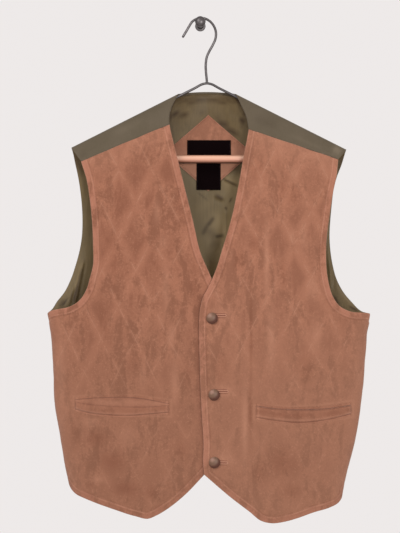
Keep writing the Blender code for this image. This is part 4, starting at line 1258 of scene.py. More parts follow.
def edge_thread(look, material):
    """Stitches of the turned edges: a running row beside every banded line of both fronts."""
    parts = []
    for name in FRONTS:
        lines = outlines(name)
        for line in banded(lines):
            q, z = inset_line(line, lines, look.edge_band - SEWN_INSET, look.stitch_length)
            points, normals, height, _, _ = on_front(name, q, z, lines, look)
            sewn = points + (height[:, None] - SEWN_SINK) * normals
            parts.append(sewn_row(sewn, normals, EDGE_THREAD, EDGE_GAP))
    new_piece(new_mesh("edge_thread", *joined(parts)), material, "suede_edge")


def on_x(name, x, z, look):
    """Points and normals on a front's suede for widths and heights."""
    lines = outlines(name)
    points, normals, height, _, _ = on_front(name, q_of_x(x, z), z, lines, look)
    return points + height[..., None] * normals, normals


def buttonholes(look, material, dark):
    """Corded buttonholes of the left front: a whipped cord round each opening, and dark strips of
    painted shade in the opening and in the sunk lines above and below it."""
    cords = []
    lines = []
    half = BUTTONHOLE_HALF
    turn = np.linspace(-math.pi / 2.0, math.pi / 2.0, 14)
    for left, right, level in BUTTONHOLES:
        straight = np.linspace(left, right, 60)
        x = np.concatenate((straight, right + half * np.cos(turn), straight[::-1],
                            left - half * np.cos(turn)))
        z = level + np.concatenate((0.0 * straight - half, half * np.sin(turn),
                                    0.0 * straight + half, -half * np.sin(turn)))
        base, up = on_x("front_left", x, z, look)
        square = unit(np.cross(up, np.roll(base, -1, axis=0) - np.roll(base, 1, axis=0)))
        run = np.cumsum(np.linalg.norm(np.roll(base, -1, axis=0) - base, axis=1))
        size = CORD_RADIUS * (1.0 + 0.14 * np.sin(run / CORD_WHIP * math.pi))
        ring = rings(base, size, square, up, 8)
        numbers = np.arange(ring[..., 0].size).reshape(len(base), -1)
        cords.append((ring.reshape(-1, 3), [cells_of(wrapped(np.vstack((numbers, numbers[:1]))))]))
        for middle, thick in BUTTONHOLE_LINES:
            x, z = np.meshgrid(straight, level + middle + np.linspace(-0.5, 0.5, 3) * thick)
            strip, up = on_x("front_left", x, z, look)
            numbers = np.arange(x.size).reshape(x.shape)
            low = numbers + x.size
            rim = np.stack((np.roll(ring_of(numbers), -1), ring_of(numbers), ring_of(low),
                            np.roll(ring_of(low), -1)), axis=-1)
            points = np.concatenate((strip + LINE_RISE * up, strip - LINE_SINK * up))
            lines.append((points.reshape(-1, 3), [cells_of(numbers), cells_of(low)[:, ::-1], rim]))
    new_piece(new_mesh("buttonhole_cord", *joined(cords)), material, "suede_edge")
    new_piece(new_mesh("buttonhole_shade_strips", *joined(lines)), dark, "suede_edge")


def back_top(x):
    """Height of the back's top line: the shoulder line, and the neck between its points."""
    return np.where(np.abs(x) < NECK_HALF, NECK_POINT_Z + NECK_DIP * (1.0 - (x / NECK_HALF)**2),
                    ridge(x))


def back_arm_line(side):
    """Armhole of the back on one side, from the shoulder's tip down to the underarm."""
    corner = (side * float(half_width(side, UNDERARM)), UNDERARM)
    tip = side * SHOULDER_TIPS[side]
    armhole = LEFT_BACK_ARMHOLE if side > 0 else RIGHT_BACK_ARMHOLE
    points = np.array(((tip, float(ridge(tip))),) + armhole + (corner,))
    return trace(np.column_stack((q_of_x(points[:, 0], points[:, 1]), points[:, 1])))


def back_edge(side, finer):
    """Outer edge of the back on one side, from the hem up: q and z of each row."""
    hem = LEFT_HEM[0][1] if side > 0 else RIGHT_HEM[0][1]
    low = hem + graded(UNDERARM - hem, BACK_SIDE_ROWS, EDGE_STEPS, (0.0,))[:-1]
    line = back_arm_line(side)
    rest = np.linspace(BACK_TOP_STEPS[-1], line[2][-1], BACK_ARM_ROWS * finer + 1)[1:]
    run = np.concatenate((BACK_TOP_STEPS, rest))[::-1]
    q = np.concatenate((side * half_width(side, low) * ARC[-1], np.interp(run, line[2], line[0])))
    return q, np.concatenate((low, np.interp(run, line[2], line[1])))


def back_grid(finer=1):
    """Pattern points of the back: rows from the hem up, columns from the wearer's right."""
    right_q, right_z = back_edge(-1, finer)
    left_q, left_z = back_edge(1, finer)
    columns = BACK_COLUMNS * finer
    fine = np.array(EDGE_STEPS)
    neck_q = float(q_of_x(NECK_HALF, NECK_POINT_Z))
    first = float(right_q[-1]) + fine[-1]
    last = float(left_q[-1]) - fine[-1]
    inside = np.concatenate((np.linspace(first, -neck_q, columns + 1)[1:],
                             np.linspace(-neck_q, neck_q, NECK_COLUMNS * finer + 1)[1:-1],
                             np.linspace(neck_q, last, columns + 1)[:-1]))
    inside = (inside - first) / (last - first)
    start = right_q[:, None] + fine
    end = left_q[:, None] - fine[::-1]
    q = np.concatenate((start, start[:, -1:] + inside * (end[:, :1] - start[:, -1:]), end), axis=1)
    share = (q - right_q[:, None]) / (left_q - right_q)[:, None]
    z = right_z[:, None] + share * (left_z - right_z)[:, None]
    rows = np.arange(len(right_q))
    below = 1.0 - ramp(rows / (BACK_SIDE_ROWS - 1.0))
    hem_arch = (BACK_HEM - z[0].mean()) * np.sin(math.pi * share[0])**0.8
    top_x = np.sin(phi_of_q(q[-1], z[-1])) * half_width(q[-1], z[-1])
    neck_column = len(fine) + columns - 1
    top_x[[neck_column, -1 - neck_column]] = (-NECK_HALF, NECK_HALF)
    rise = back_top(top_x) - z[-1]
    above = ramp((rows - BACK_SIDE_ROWS) / (BACK_ARM_ROWS * finer - 1.0))
    return q, z + below[:, None] * hem_arch + above[:, None] * rise, top_x


def yoke_grid(side, ridge_x):
    """Yoke over one shoulder: rows from the shoulder line to its seam on the front."""
    seam = RIGHT_SEAM if side < 0 else LEFT_SEAM
    neck = RIGHT_YOKE_NECK if side < 0 else LEFT_YOKE_NECK
    outer_end, inner_end = np.array(seam)
    tip = SHOULDER_TIPS[side]
    share = (np.abs(ridge_x) - tip) / (NECK_HALF - tip)
    down = np.concatenate((YOKE_TOP_STEPS, np.linspace(0.2, 0.97, YOKE_ROWS), (0.985, 1.0)))
    down = down[:, None]
    low_x = outer_end[0] + share * (inner_end[0] - outer_end[0])
    low_z = outer_end[1] + share * (inner_end[1] - outer_end[1]) + SEAM * 1.1
    x = ridge_x + down * (low_x - ridge_x)
    z = ridge(ridge_x) + down * (low_z - ridge(ridge_x))
    neck_x, _, run = trace(((side * NECK_HALF, NECK_POINT_Z),) + neck[1:])
    bow = np.interp(down[:, 0] * run[-1], run, neck_x) - x[:, np.argmax(share)]
    return x + bow[:, None] * share**4, z


def cloth_back(material):
    """Woven back with its two yokes, one wall that folds over the shoulders."""
    q, z, top_x = back_grid()
    phi = phi_of_q(q, z)
    phi[-1] = phi_of_x(top_x, z[-1])
    points, normals = face(phi, z, 1)
    hem = trace(np.column_stack((q[0], z[0])))
    top = trace(np.column_stack((q[-1], z[-1])))
    away, _ = nearest_of(q, z, (hem, back_arm_line(-1), back_arm_line(1)))
    neck, _ = nearest(q, z, top)
    calm = ramp(away / 0.02) * ramp(neck / 0.03)
    wave = creases(points[..., 0], z, BACK_CREASES)
    wave = wave + 0.0006 * drift(q / 0.035, z / 0.09, 11) + 0.0002 * drift(q / 0.012, z / 0.03, 12)
    outer = [(points + (wave * calm)[..., None] * normals).reshape(-1, 3)]
    inner = [(points + (wave * calm - BACK_WALL)[..., None] * normals).reshape(-1, 3)]
    marks = [triple(q, z, away).reshape(-1, 3)]
    shades = [np.zeros((q.size, 3))]
    numbers = np.arange(q.size).reshape(q.shape)
    cells = [cells_of(numbers)]
    count = q.size
    columns = len(EDGE_STEPS) + BACK_COLUMNS
    for side, chosen in ((-1, numbers[-1, :columns]), (1, numbers[-1, -columns:])):
        ridge_x = top_x[:columns] if side < 0 else top_x[-columns:]
        x, height = yoke_grid(side, ridge_x)
        x, height = x[1:], height[1:]
        yoke, yoke_normals = face(phi_of_x(x, height), height, -1)
        down = ramp((ridge(x) - height) / 0.012)
        soft = creases(x, height, YOKE_CREASES) + 0.00035 * drift(x / 0.020, height / 0.012, 14)
        lift = (soft * down)[..., None]
        outer.append((yoke + lift * yoke_normals).reshape(-1, 3))
        inner.append((yoke + (lift - BACK_WALL) * yoke_normals).reshape(-1, 3))
        marks.append(triple(x, height, UNSEWN).reshape(-1, 3))
        # Painted shade along the yokes' creases and at the shoulder tips, and painted highlights
        shade = triple(folds_of(x, height, YOKE_FOLD_SHADE), 0.4 * folds_of(x, height, YOKE_GLEAMS), 0.0)
        shades.append(shade.reshape(-1, 3))
        below = count + np.arange(x.size).reshape(x.shape)
        cells.append(cells_of(np.vstack((chosen, below))))
        count += below.size
    mesh = cell_wall("cloth_back", np.concatenate(outer), np.concatenate(inner),
                     np.concatenate(cells),
                     {"cut": np.concatenate(marks), "fold_shade_and_gleam": np.concatenate(shades)})
    yoke_width = RIGHT_SEAM[1][0] - RIGHT_SEAM[0][0]
    declare_cloth(new_piece(mesh, material, "back_cloth", "back"), q, z, YOKE_LENGTH,
                  2.0 * yoke_width * YOKE_HEIGHT)


def folds_of(x, z, table):
    """Strength of painted shade or highlight along folds: a soft line for each row of a table of
    segments.
    """
    total = np.zeros(np.broadcast(x, z).shape)
    for x0, z0, x1, z1, half, strength in table:
        across, along = from_segment(x, z, x0, z0, x1, z1)
        total = total + strength * np.exp(-(across / half)**2 - 1.6 * (2.0 * along - 1.0)**4)
    return np.clip(total, 0.0, 1.0)


def on_lining(x, z):
    """How far the lining's creases stand out, calm under the neck patch and at its edges."""
    middle_x, middle_z, half_wide, half_high = PATCH
    diamond = np.abs(x - middle_x) / half_wide + np.abs(z - middle_z) / half_high
    free = ramp((diamond - 1.0) / 0.12)
    soft = 0.0010 + 0.0009 * drift(x / 0.034, z / 0.050, 21) + 0.0002 * drift(x / 0.013, z / 0.02, 22)
    return (np.maximum(creases(x, z, LINING_CREASES), -0.0008) + soft) * free


def lining_part(grid):
    """The back's grid without its rim and its top rows, cut to odd counts for its wall."""
    part = grid[1:-LINING_TOP_ROW, 1:-1]
    rows, columns = (count - 1 + count % 2 for count in part.shape)
    return part[:rows, :columns]


def satin_lining(material):
    """Satin lining of the back, in from its edges, with the creases that show in the neck."""
    q, z = (lining_part(grid) for grid in back_grid(2)[:2])
    points, normals = face(phi_of_q(q, z), z, 1)
    border = np.minimum(np.abs(z - z[-1]), np.minimum(np.abs(q - q[:, :1]), np.abs(q - q[:, -1:])))
    rise = on_lining(points[..., 0], z) * ramp(border / 0.006)
    near = BACK_WALL + SEAM
    sink = rolled(border, 0.0005)
    shown = points - (near + LINING_WALL + rise - sink)[..., None] * normals
    hidden = points - (near + 0.6 * rise + sink * 0.5)[..., None] * normals
    x = points[..., 0]
    # Painted shade along the lining's creases, with some dark smudges; darker on the facing strip at
    # the top and towards the neck
    dark = folds_of(x, z, LINING_SHADE_AND_SMUDGES)
    neck = np.abs(x) < 0.075
    dark = dark + (0.26 * ramp((z + 0.1275) / 0.0015) + 0.30 * ramp((z + 0.200) / 0.04)) * neck
    dark = np.clip(dark, 0.0, 1.0)
    # Painted light: the lining deep in the V and behind the left front's neck edge is made paler, and
    # glows at the V's tip, where the fronts shade it
    painted_lift = ramp((-0.290 - z) / 0.070) * (0.34 + 0.60 * ramp((x + 0.004) / 0.022)) * neck
    painted_glow = 0.50 * ramp((-0.372 - z) / 0.030) * neck
    painted_lift = painted_lift + 0.40 * ramp((x - 0.018) / 0.02) * ramp((-0.232 - z) / 0.02) * neck
    pale = 0.4 * folds_of(x, z, LINING_GLEAMS) + painted_lift
    marks = {"cut": triple(q, z, UNSEWN), "fold_shade_and_gleam": triple(dark, pale, painted_glow)}
    mesh = grid_wall("satin_lining", shown, hidden, marks)
    declare_cloth(new_piece(mesh, material, "satin", "back_lining"), q, z)


def laid_on(x, z, side, near, far, over=False):
    """Shown and hidden face of a flat piece that follows a panel, and its normals."""
    points, normals = face(phi_of_x(x, z), z, side, over)
    far = (far + 0.0 * x)[..., None]
    return points + far * normals, points + near * normals, normals


def on_diamond(a, b):
    """Width and height of the patch's point for shares from -1 to 1 along its two sides."""
    middle_x, middle_z, half_wide, half_high = PATCH
    return middle_x + half_wide * (a + b) / 2.0, middle_z + half_high * (b - a) / 2.0


def neck_patch(look, material, sewing):
    """Suede diamond inside the back neck, with its stitched edge."""
    side_length = math.hypot(*PATCH[2:])
    step = graded(side_length, PATCH_CELLS, EDGE_STEPS, EDGE_STEPS) / side_length
    a, b = np.meshgrid(step * 2.0 - 1.0, step * 2.0 - 1.0)
    x, z = on_diamond(a, b)
    away = side_length * np.minimum(1.0 - np.abs(a), 1.0 - np.abs(b)) / 2.0
    low = -(BACK_WALL + SEAM + LINING_WALL + PATCH_GAP)
    wave = 0.0003 * drift(x / 0.012, z / 0.012, 31) * ramp(away / 0.01)
    sink = rolled(away, 0.0007)
    groove = 0.0002 * np.exp(-((away - PATCH_SEWN) / 0.0009)**2)
    far = low - PATCH_WALL - wave + sink + groove
    shown, hidden, _ = laid_on(x, z, 1, low, far)
    # The patch is paler as a whole, and much paler below the bar: painted light where the bar shades
    # it
    marks = {"cut": triple(x, z, away + 0.009), "quilt": triple(0.5, 0.5, 0.0 * x),
             "wear_light_shade": triple(0.0, 0.45 + 1.10 * ramp((-0.190 - z) / 0.030), 0.0)}
    mesh = grid_wall("suede_neck_patch", shown, hidden, marks)
    new_piece(mesh, material, "suede_edge", "neck_patch")
    inset = 1.0 - 2.0 * PATCH_SEWN / side_length
    places = np.arange(-inset, inset, 2.0 * look.stitch_length / side_length)
    parts = []
    for a, b in ((places, inset), (inset, -places), (-places, -inset), (-inset, places)):
        sewn, _, normals = laid_on(*on_diamond(a, b), 1, low, low - PATCH_WALL)
        parts.append(sewn_row(sewn, -normals, PATCH_THREAD))
    new_piece(new_mesh("patch_thread", *joined(parts)), sewing, "suede_edge")


def woven_labels(material, sewing):
    """Two blank woven labels on the patch, their ends folded under and sewn down."""
    base = -(BACK_WALL + SEAM + LINING_WALL + PATCH_GAP + PATCH_WALL + SEAM)
    parts = []
    for name, (left, right, top, bottom) in LABELS.items():
        wide = graded(right - left, 64, EDGE_STEPS, EDGE_STEPS)
        high = graded(top - bottom, 40, EDGE_STEPS, EDGE_STEPS)
        x, z = np.meshgrid(left + wide, bottom + high)
        ends = np.minimum(x - left, right - x)
        sides = np.minimum(z - bottom, top - z)
        away = np.minimum(ends, sides)
        bow = 0.0002 * drift(x / 0.010, z / 0.010, 41)
        folded = 0.00035 * (1.0 - ramp((ends - 0.006) / 0.001))
        far = base - LABEL_WALL - bow - folded + rolled(away, 0.0005)
        shown, hidden, _ = laid_on(x, z, 1, base, far)
        mesh = grid_wall("woven_" + name, shown, hidden, {"cut": triple(x, z, UNSEWN)})
        new_piece(mesh, material, "woven_black", name)
        z = np.arange(bottom + 0.001, top - 0.001, LABEL_STITCH)
        for end_x in (left + LABEL_SEWN, right - LABEL_SEWN):
            sewn, _, normals = laid_on(end_x + 0.0 * z, z, 1, base, base - LABEL_WALL - 0.0003)
            parts.append(sewn_row(sewn, -normals, LABEL_THREAD))
    new_piece(new_mesh("label_thread", *joined(parts)), sewing, "woven_black")


def welt_strip(name, material):
    """Pocket welt: a strip whose height follows one profile from its lower seam to its lip.

    v runs 0 to 1 over the folded welt and 1 to 2 over the pocket's mouth above it, and the
    profile carries it past both seams onto the panel.
    """
    rows = np.array(POCKETS[name])
    order = np.argsort(rows[:, 0])
    along = graded(np.ptp(rows[:, 0]), WELT_COLUMNS, EDGE_STEPS, EDGE_STEPS) + rows[order[0], 0]
    top, lip, bottom = (smooth(rows[order, 0], rows[order, k], along) for k in (1, 2, 3))
    v = np.array(WELT_PROFILE)[:, 0]
    dense = np.interp(np.arange(len(v) * 6 - 5) / 6.0, np.arange(len(v)), v)
    rise = smooth(v, np.array(WELT_PROFILE)[:, 1], dense)
    dark = np.interp(dense, v, np.array(WELT_PROFILE)[:, 2])
    dense = dense[:, None]
    z = np.where(dense < 0.0, bottom + dense * WELT_PAST, bottom + dense * (lip - bottom))
    z = np.where(dense < 1.0, z, lip + (dense - 1.0) * (top - lip))
    z = np.where(dense < 2.0, z, top + (dense - 2.0) * WELT_PAST)
    x = np.broadcast_to(along, z.shape)
    ends = np.minimum(x - along[0], along[-1] - x)
    close = ramp(ends / 0.0035)
    bow = drift(x / 0.018, z / 0.008, 51) * 0.0002 * ramp((rise[:, None] - 0.0008) / 0.001)
    far = WELT_BASE + (rise[:, None] - WELT_BASE) * (0.35 + 0.65 * close) + bow
    far = far - rolled(ends, 0.0002)
    shown, hidden, _ = laid_on(x, z, -1, WELT_GAP, far, over=rows[0, 0] > 0)
    away = np.minimum(np.abs(z - bottom), ends) + 0.0115
    # Painted shade along the welt's seams and its pocket mouth, from the profile, and along its ends
    end_line = np.exp(-((ends - 0.0016) / 0.0009)**2) * ((dense > 0.0) & (dense < 2.0))
    patchy = 0.75 + 0.45 * drift(x / 0.011, 0.0 * x, 52)
    painted_shade = np.maximum(dark[:, None] * patchy, (0.30 if rows[0, 0] < 0 else 0.06) * end_line)
    facing = ((dense > 1.0) & (dense < 2.0)) + 0.0 * x
    # Painted highlights along the welt's rounded lower edge and its ends; darker across its middle,
    # paler below the seam and on the facing, and random tone
    middle = 0.08 if rows[0, 0] < 0 else 0.28
    wear_and_light = 0.70 * np.exp(-((dense - 0.16) / 0.12)**2) - middle * np.exp(-((dense - 0.62) / 0.25)**2)
    wear_and_light = wear_and_light + 0.45 * (dense < -0.04) + 0.45 * facing + 0.25 * drift(x / 0.010, z / 0.006, 53)
    wear_and_light = wear_and_light + 0.55 * np.exp(-((ends - 0.0030) / 0.0020)**2)
    marks = {"cut": triple(x, z, away + UNSEWN * facing), "quilt": triple(0.5, 0.5, 0.0 * x),
             "wear_light_shade": triple(x, wear_and_light, painted_shade)}
    new_piece(grid_wall("suede_" + name, shown, hidden, marks), material, "suede_edge", name)


def bronze_buttons(material):
    """Domed buttons, turned, with a rolled rim and a short shank."""
    r = BUTTON_RADIUS
    profile = ((0.0, 0.0054), (0.22 * r, 0.0053), (0.50 * r, 0.0049), (0.74 * r, 0.0041),
               (0.88 * r, 0.0032), (0.93 * r, 0.0029), (0.99 * r, 0.0026), (r, 0.0019),
               (0.97 * r, 0.0013), (0.86 * r, 0.0010), (0.45 * r, 0.0011), (0.42 * r, 0.0),
               (0.0, 0.0))
    for name, (x, z) in BUTTONS.items():
        points, _ = face(phi_of_x(np.array([x]), np.array([z])), np.array([z]), -1, over=True)
        turned, faces = lathe(rounded(profile, 5), 72)
        placed = np.column_stack((turned[:, 0] + x, float(points[0, 1]) - SEAM - turned[:, 2],
                                  turned[:, 1] + z))
        across, up = turned[:, :2].T / r
        mesh = new_mesh("bronze_" + name, placed, faces,
                        {"dome": triple(across, up, np.hypot(across, up))})
        new_piece(mesh, material, "button_bronze", name)


def spaced(points, step):
    """Even points along the smooth curve through some x and z, in the hanger's plane."""
    x, z, run = trace(points, 4000)
    places = np.linspace(0.0, run[-1], round(run[-1] / step))
    return np.column_stack((np.interp(places, run, x), 0.0 * places, np.interp(places, run, z)))


def wire_hanger(wire_finish, bar_finish):
    """Wire hook, the two arms with their returns, and the round bar between their ends."""
    shoulder = np.linspace(0.185, 0.006, 14)
    arm = [(-BAR_HALF - SEAM, BAR_Z)] + [(-x, z) for x, z in ARM_BEND[::-1]]
    arm += [(-x, ARM_TOP - SHOULDER_SLOPE * x) for x in shoulder]
    apex = (0.0, ARM_TOP - SHOULDER_SLOPE * 0.004)
    arms = spaced(arm + [apex] + [(-x, z) for x, z in arm[::-1]], 0.0012)
    new_piece(new_mesh("wire_arms", *tube(arms, WIRE)), wire_finish, "wire_grey", "hanger_arms")
    foot = (0.0, ARM_TOP - SHOULDER_SLOPE * 0.006 + WIRE + SEAM)
    hook = spaced((foot,) + HOOK, 0.0010)
    new_piece(new_mesh("wire_hook", *tube(hook, WIRE)), wire_finish, "wire_grey", "hanger_hook")
    r = BAR_RADIUS
    profile = ((0.0, BAR_HALF), (0.7 * r, BAR_HALF), (r, BAR_HALF - 0.0008), (r, 0.06), (r, -0.06),
               (r, 0.0008 - BAR_HALF), (0.7 * r, -BAR_HALF), (0.0, -BAR_HALF))
    turned, faces = lathe(rounded(profile, 5, 0.45), 64)
    placed = np.column_stack((turned[:, 2], turned[:, 1], BAR_Z - turned[:, 0]))
    new_piece(new_mesh("copper_bar", placed, faces), bar_finish, "bar_copper", "hanger_bar")


def wall_knob(material):
    """Round wall peg: a flange on the wall, a stem and a domed knob."""
    reach = WALL_Y
    profile = ((0.0, reach + 0.0115), (0.30 * PEG_HEAD, reach + 0.0113),
               (0.60 * PEG_HEAD, reach + 0.0105), (0.88 * PEG_HEAD, reach + 0.0088),
               (PEG_HEAD, reach + 0.0065), (0.93 * PEG_HEAD, reach + 0.0045),
               (PEG_STEM, reach + 0.0040), (PEG_STEM, 0.5 * reach), (PEG_STEM, 0.004),
               (0.92 * PEG_HEAD, 0.004), (PEG_HEAD, 0.003), (PEG_HEAD, 0.0), (0.0, 0.0))
    turned, faces = lathe(rounded(profile, 5), 72)
    placed = np.column_stack((PEG_X + turned[:, 0], WALL_Y - turned[:, 2], turned[:, 1]))
    new_piece(new_mesh("wall_knob", placed, faces), material, "peg_grey", "wall_peg")


def colour_property(name, description, default):
    """Property of a linear colour."""
    return FloatVectorProperty(name=name, description=description, default=default, size=3,
                               min=0.0, max=1.0, subtype="COLOR")


def length_property(name, description, default):
    """Property of a length in metres."""
    return FloatProperty(name=name, description=description, default=default, min=0.0,
                         unit="LENGTH")


class VestLook(bpy.types.PropertyGroup):
    """Sizes of the sewing and colours of the vest."""
    diamond_width: length_property("Diamond width", "Width of a quilted diamond", 0.054)
    diamond_height: length_property("Diamond height", "Height of a quilted diamond", 0.106)
    puff: length_property("Puff", "Height of a diamond above its stitching", 0.0016)
    edge_band: length_property("Edge band", "Width of the turned suede edge", 0.011)
    stitch_length: length_property("Stitch length", "Length of one stitch", 0.0032)
    cloth_edge: length_property("Cloth edge", "Stitching's distance from the cloth's edge", 0.006)
    suede_pale: colour_property("Suede", "Suede, nap lying one way", (0.3390, 0.1455, 0.0880))
    suede_deep: colour_property("Deep suede", "Suede, nap lying the other way",
                                (0.1830, 0.0735, 0.0430))
    # Also the colour of the painted shade beside folds and in the band's groove
    suede_brushed: colour_property("Brushed suede", "Middle of the diamonds",
                                   (0.1560, 0.0580, 0.0332))
    # Painted shade of the lower fronts, darker towards the bottom
    suede_dusty: colour_property("Shaded low suede", "Suede of the lower fronts",
                                 (0.182, 0.090, 0.0557))
    # Also the colour of painted highlights on fold ridges and edges
    suede_scuffed: colour_property("Scuffed suede", "Rubbed stitch lines", (0.372, 0.179, 0.114))
    suede_edge: colour_property("Suede edge", "Turned edges", (0.356, 0.154, 0.104))
    suede_facing: colour_property("Pocket facing", "Suede inside the pocket",
                                  (0.285, 0.100, 0.064))
    # Painted shade in seams, welt mouths and buttonholes, and beside the left front's overlapping
    # edge
    suede_shadow: colour_property("Sewn groove", "Suede deep in a seam", (0.1050, 0.0350, 0.0224))
    sewing: colour_property("Thread", "Sewing thread on suede", (0.318, 0.150, 0.102))
    cloth: colour_property("Back cloth", "Woven back and yokes", (0.096, 0.0735, 0.048))
    cloth_deep: colour_property("Deep back cloth", "Back cloth in its streaks",
                                (0.075, 0.057, 0.033))
    satin: colour_property("Satin", "Lining", (0.1470, 0.1030, 0.0470))
    satin_deep: colour_property("Deep satin", "Lining in its streaks", (0.1010, 0.0712, 0.0318))
    woven_black: colour_property("Label", "Woven labels", (0.0035, 0.0014, 0.0017))
    bronze: colour_property("Button", "Worn bronze", (0.128, 0.066, 0.039))
    # Painted highlight of the buttons
    bronze_pale: colour_property("Pale button", "Bronze where it is rubbed",
                                 (0.262, 0.140, 0.100))
    # Painted shade of the buttons
    bronze_deep: colour_property("Deep button", "Bronze where it is tarnished",
                                 (0.074, 0.023, 0.012))
    wire: colour_property("Wire", "Hanger's wire", (0.120, 0.108, 0.108))
    bar: colour_property("Bar", "Hanger's copper coloured bar", (0.5238, 0.2455, 0.1555))
    # Painted highlight along the bar's top
    bar_pale: colour_property("Pale bar", "Top of the bar", (0.7353, 0.4334, 0.3019))
    # Painted shade under the bar, also the base of its painted shadow line
    bar_deep: colour_property("Deep bar", "Underside of the bar", (0.230, 0.080, 0.045))
    backdrop: colour_property("Backdrop", "Light round the vest", (0.855, 0.820, 0.812))
    floor: colour_property("Floor", "Pale floor", (0.640, 0.615, 0.605))


class Looks:
    """The property group's values as plain numbers and tuples."""

    def __init__(self, group):
        for label in VestLook.__annotations__:
            value = getattr(group, label)
            setattr(self, label, value if isinstance(value, float) else tinted(value, 1.0))


def finish_named(name, look):
    """Material of one finish, made at its first use."""
    made = bpy.data.materials.get(name)
    if made:
        return made
    makers = {
        "brushed suede": lambda: suede(name, look),
        "pocket suede": lambda: suede(name, look, redder=0.06),
        "suede thread": lambda: thread(name, look.sewing),
        "corded thread": lambda: thread(name, tinted(look.suede_scuffed, 1.12)),
        "black thread": lambda: thread(name, tinted(look.woven_black, 4.0)),
        # Dark strips of painted shade in and round the buttonholes
        "buttonhole_shade": lambda: thread(name, tinted(look.suede_shadow, 1.8)),
        "back cloth": lambda: woven(name, look.cloth, look.cloth_deep, look, 0.0011, sheen=0.15,
                                    folded=True),
        "satin lining": lambda: woven(name, look.satin, look.satin_deep, look, 0.0006, sheen=0.12,
                                      streak=0.15, coarse=0.00004, rough=0.45, shine=0.22,
                                      folded=True),
        "woven black": lambda: woven(name, look.woven_black, look.woven_black, look, 0.0007,
                                     streak=0.2, coarse=0.00012, rough=0.90, shine=0.03),
        "worn bronze with painted light": lambda: bronze(name, look),
        "grey wire": lambda: wire_metal(name, look.wire),
        "copper bar": lambda: copper(name, look),
    }
    return makers[name]()


class VestOperator:
    """What every step shares."""
    bl_options = {"REGISTER", "UNDO"}

    def look(self, context):
        """The scene's sizes and colours."""
        return Looks(context.scene.vest_look)


class VEST_OT_fronts(VestOperator, bpy.types.Operator):
    """Quilted suede fronts with turned and stitched edges"""
    bl_idname = "vest.fronts"
    bl_label = "Suede Fronts"

    def execute(self, context):
        look = self.look(context)
        for name in FRONTS:
            suede_front(name, look, finish_named("brushed suede", look))
        edge_thread(look, finish_named("suede thread", look))
        return {"FINISHED"}


class VEST_OT_buttonholes(VestOperator, bpy.types.Operator):
    """Corded buttonholes of the left front"""
    bl_idname = "vest.buttonholes"
    bl_label = "Buttonholes"

    def execute(self, context):
        look = self.look(context)
        buttonholes(look, finish_named("corded thread", look), finish_named("buttonhole_shade", look))
        return {"FINISHED"}


class VEST_OT_back(VestOperator, bpy.types.Operator):
    """Woven back with its yokes, and the satin lining"""
    bl_idname = "vest.back"
    bl_label = "Back and Lining"

    def execute(self, context):
        look = self.look(context)
        cloth_back(finish_named("back cloth", look))
        satin_lining(finish_named("satin lining", look))
        return {"FINISHED"}


class VEST_OT_neck(VestOperator, bpy.types.Operator):
    """Neck patch and the blank labels on it"""
    bl_idname = "vest.neck"
    bl_label = "Neck Patch and Labels"

    def execute(self, context):
        look = self.look(context)
        neck_patch(look, finish_named("brushed suede", look), finish_named("suede thread", look))
        woven_labels(finish_named("woven black", look), finish_named("black thread", look))
        return {"FINISHED"}


class VEST_OT_welts(VestOperator, bpy.types.Operator):
    """Pocket welts"""
    bl_idname = "vest.welts"
    bl_label = "Pocket Welts"

    def execute(self, context):
        look = self.look(context)
        for name in POCKETS:
            welt_strip(name, finish_named("pocket suede", look))
        return {"FINISHED"}


class VEST_OT_buttons(VestOperator, bpy.types.Operator):
    """Domed buttons"""
    bl_idname = "vest.buttons"
    bl_label = "Buttons"

    def execute(self, context):
        bronze_buttons(finish_named("worn bronze with painted light", self.look(context)))
        return {"FINISHED"}


class VEST_OT_hanger(VestOperator, bpy.types.Operator):
    """Wire hanger, its bar and the wall peg"""
    bl_idname = "vest.hanger"
    bl_label = "Hanger and Peg"

    def execute(self, context):
        look = self.look(context)
        wire = finish_named("grey wire", look)
        wire_hanger(wire, finish_named("copper bar", look))
        wall_knob(wire)
        return {"FINISHED"}


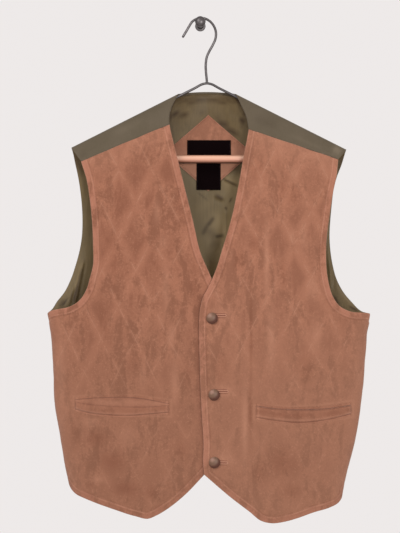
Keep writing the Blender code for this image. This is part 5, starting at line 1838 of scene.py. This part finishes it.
class VEST_OT_stage(VestOperator, bpy.types.Operator):
    """Pale floor, soft light and the camera"""
    bl_idname = "vest.stage"
    bl_label = "Stage"

    def execute(self, context):
        look = self.look(context)
        scene = context.scene
        scene.view_settings.view_transform = "Standard"
        world = bpy.data.worlds.new("pale room")
        scene.world = world
        world.use_nodes = True
        background = world.node_tree.nodes["Background"]
        background.inputs["Color"].default_value = (*look.backdrop, 1.0)
        background.inputs["Strength"].default_value = 1.0
        floor = bpy.data.objects.new("floor", bpy.data.meshes.new("floor"))
        reach = FLOOR_HALF
        floor.data.from_pydata([(-reach, -reach, FLOOR_Z), (reach, -reach, FLOOR_Z),
                                (reach, reach, FLOOR_Z), (-reach, reach, FLOOR_Z)], [],
                               [(0, 1, 2, 3)])
        pale = Tree("pale floor", Roughness=0.9)
        pale.shader.inputs["Base Color"].default_value = (*look.floor, 1.0)
        floor.data.materials.append(pale.material)
        scene.collection.objects.link(floor)
        for name, place, size, power in LIGHTS:
            lamp = bpy.data.lights.new(name, "AREA")
            lamp.shape = "DISK"
            lamp.size = size
            lamp.energy = power
            light = bpy.data.objects.new(name, lamp)
            light.location = place
            aim = np.array(LIGHT_AIM) - np.array(place)
            light.rotation_euler = (math.atan2(math.hypot(aim[0], aim[1]), -aim[2]), 0.0,
                                    math.atan2(-aim[0], aim[1]))
            scene.collection.objects.link(light)
        lens = bpy.data.cameras.new("camera")
        lens.lens = CAMERA_LENS
        lens.sensor_width = 36.0
        lens.clip_end = 50.0
        camera = bpy.data.objects.new("camera", lens)
        camera.location = CAMERA_PLACE
        camera.rotation_euler = (math.pi / 2.0, 0.0, 0.0)
        scene.collection.objects.link(camera)
        scene.camera = camera
        return {"FINISHED"}


OPERATORS = (VEST_OT_fronts, VEST_OT_buttonholes, VEST_OT_back, VEST_OT_neck, VEST_OT_welts,
             VEST_OT_buttons, VEST_OT_hanger, VEST_OT_stage)


class VEST_PT_panel(bpy.types.Panel):
    """Steps of the vest and its look"""
    bl_label = "Quilted Vest"
    bl_idname = "VEST_PT_panel"
    bl_space_type = "VIEW_3D"
    bl_region_type = "UI"
    bl_category = "Vest"

    def draw(self, context):
        """A button for each step, then the look's properties."""
        for operator in OPERATORS:
            self.layout.operator(operator.bl_idname)
        for label in VestLook.__annotations__:
            self.layout.prop(context.scene.vest_look, label)


def register():
    """Makes the classes and the scene's look known to Blender."""
    for kind in (VestLook, *OPERATORS, VEST_PT_panel):
        bpy.utils.register_class(kind)
    bpy.types.Scene.vest_look = PointerProperty(type=VestLook)


def unregister():
    """Takes them out again."""
    del bpy.types.Scene.vest_look
    for kind in (VEST_PT_panel, *OPERATORS[::-1], VestLook):
        bpy.utils.unregister_class(kind)


def main():
    """Runs every step in order."""
    register()
    bpy.ops.vest.fronts()
    bpy.ops.vest.buttonholes()
    bpy.ops.vest.back()
    bpy.ops.vest.neck()
    bpy.ops.vest.welts()
    bpy.ops.vest.buttons()
    bpy.ops.vest.hanger()
    bpy.ops.vest.stage()


if __name__ == "__main__":
    main()
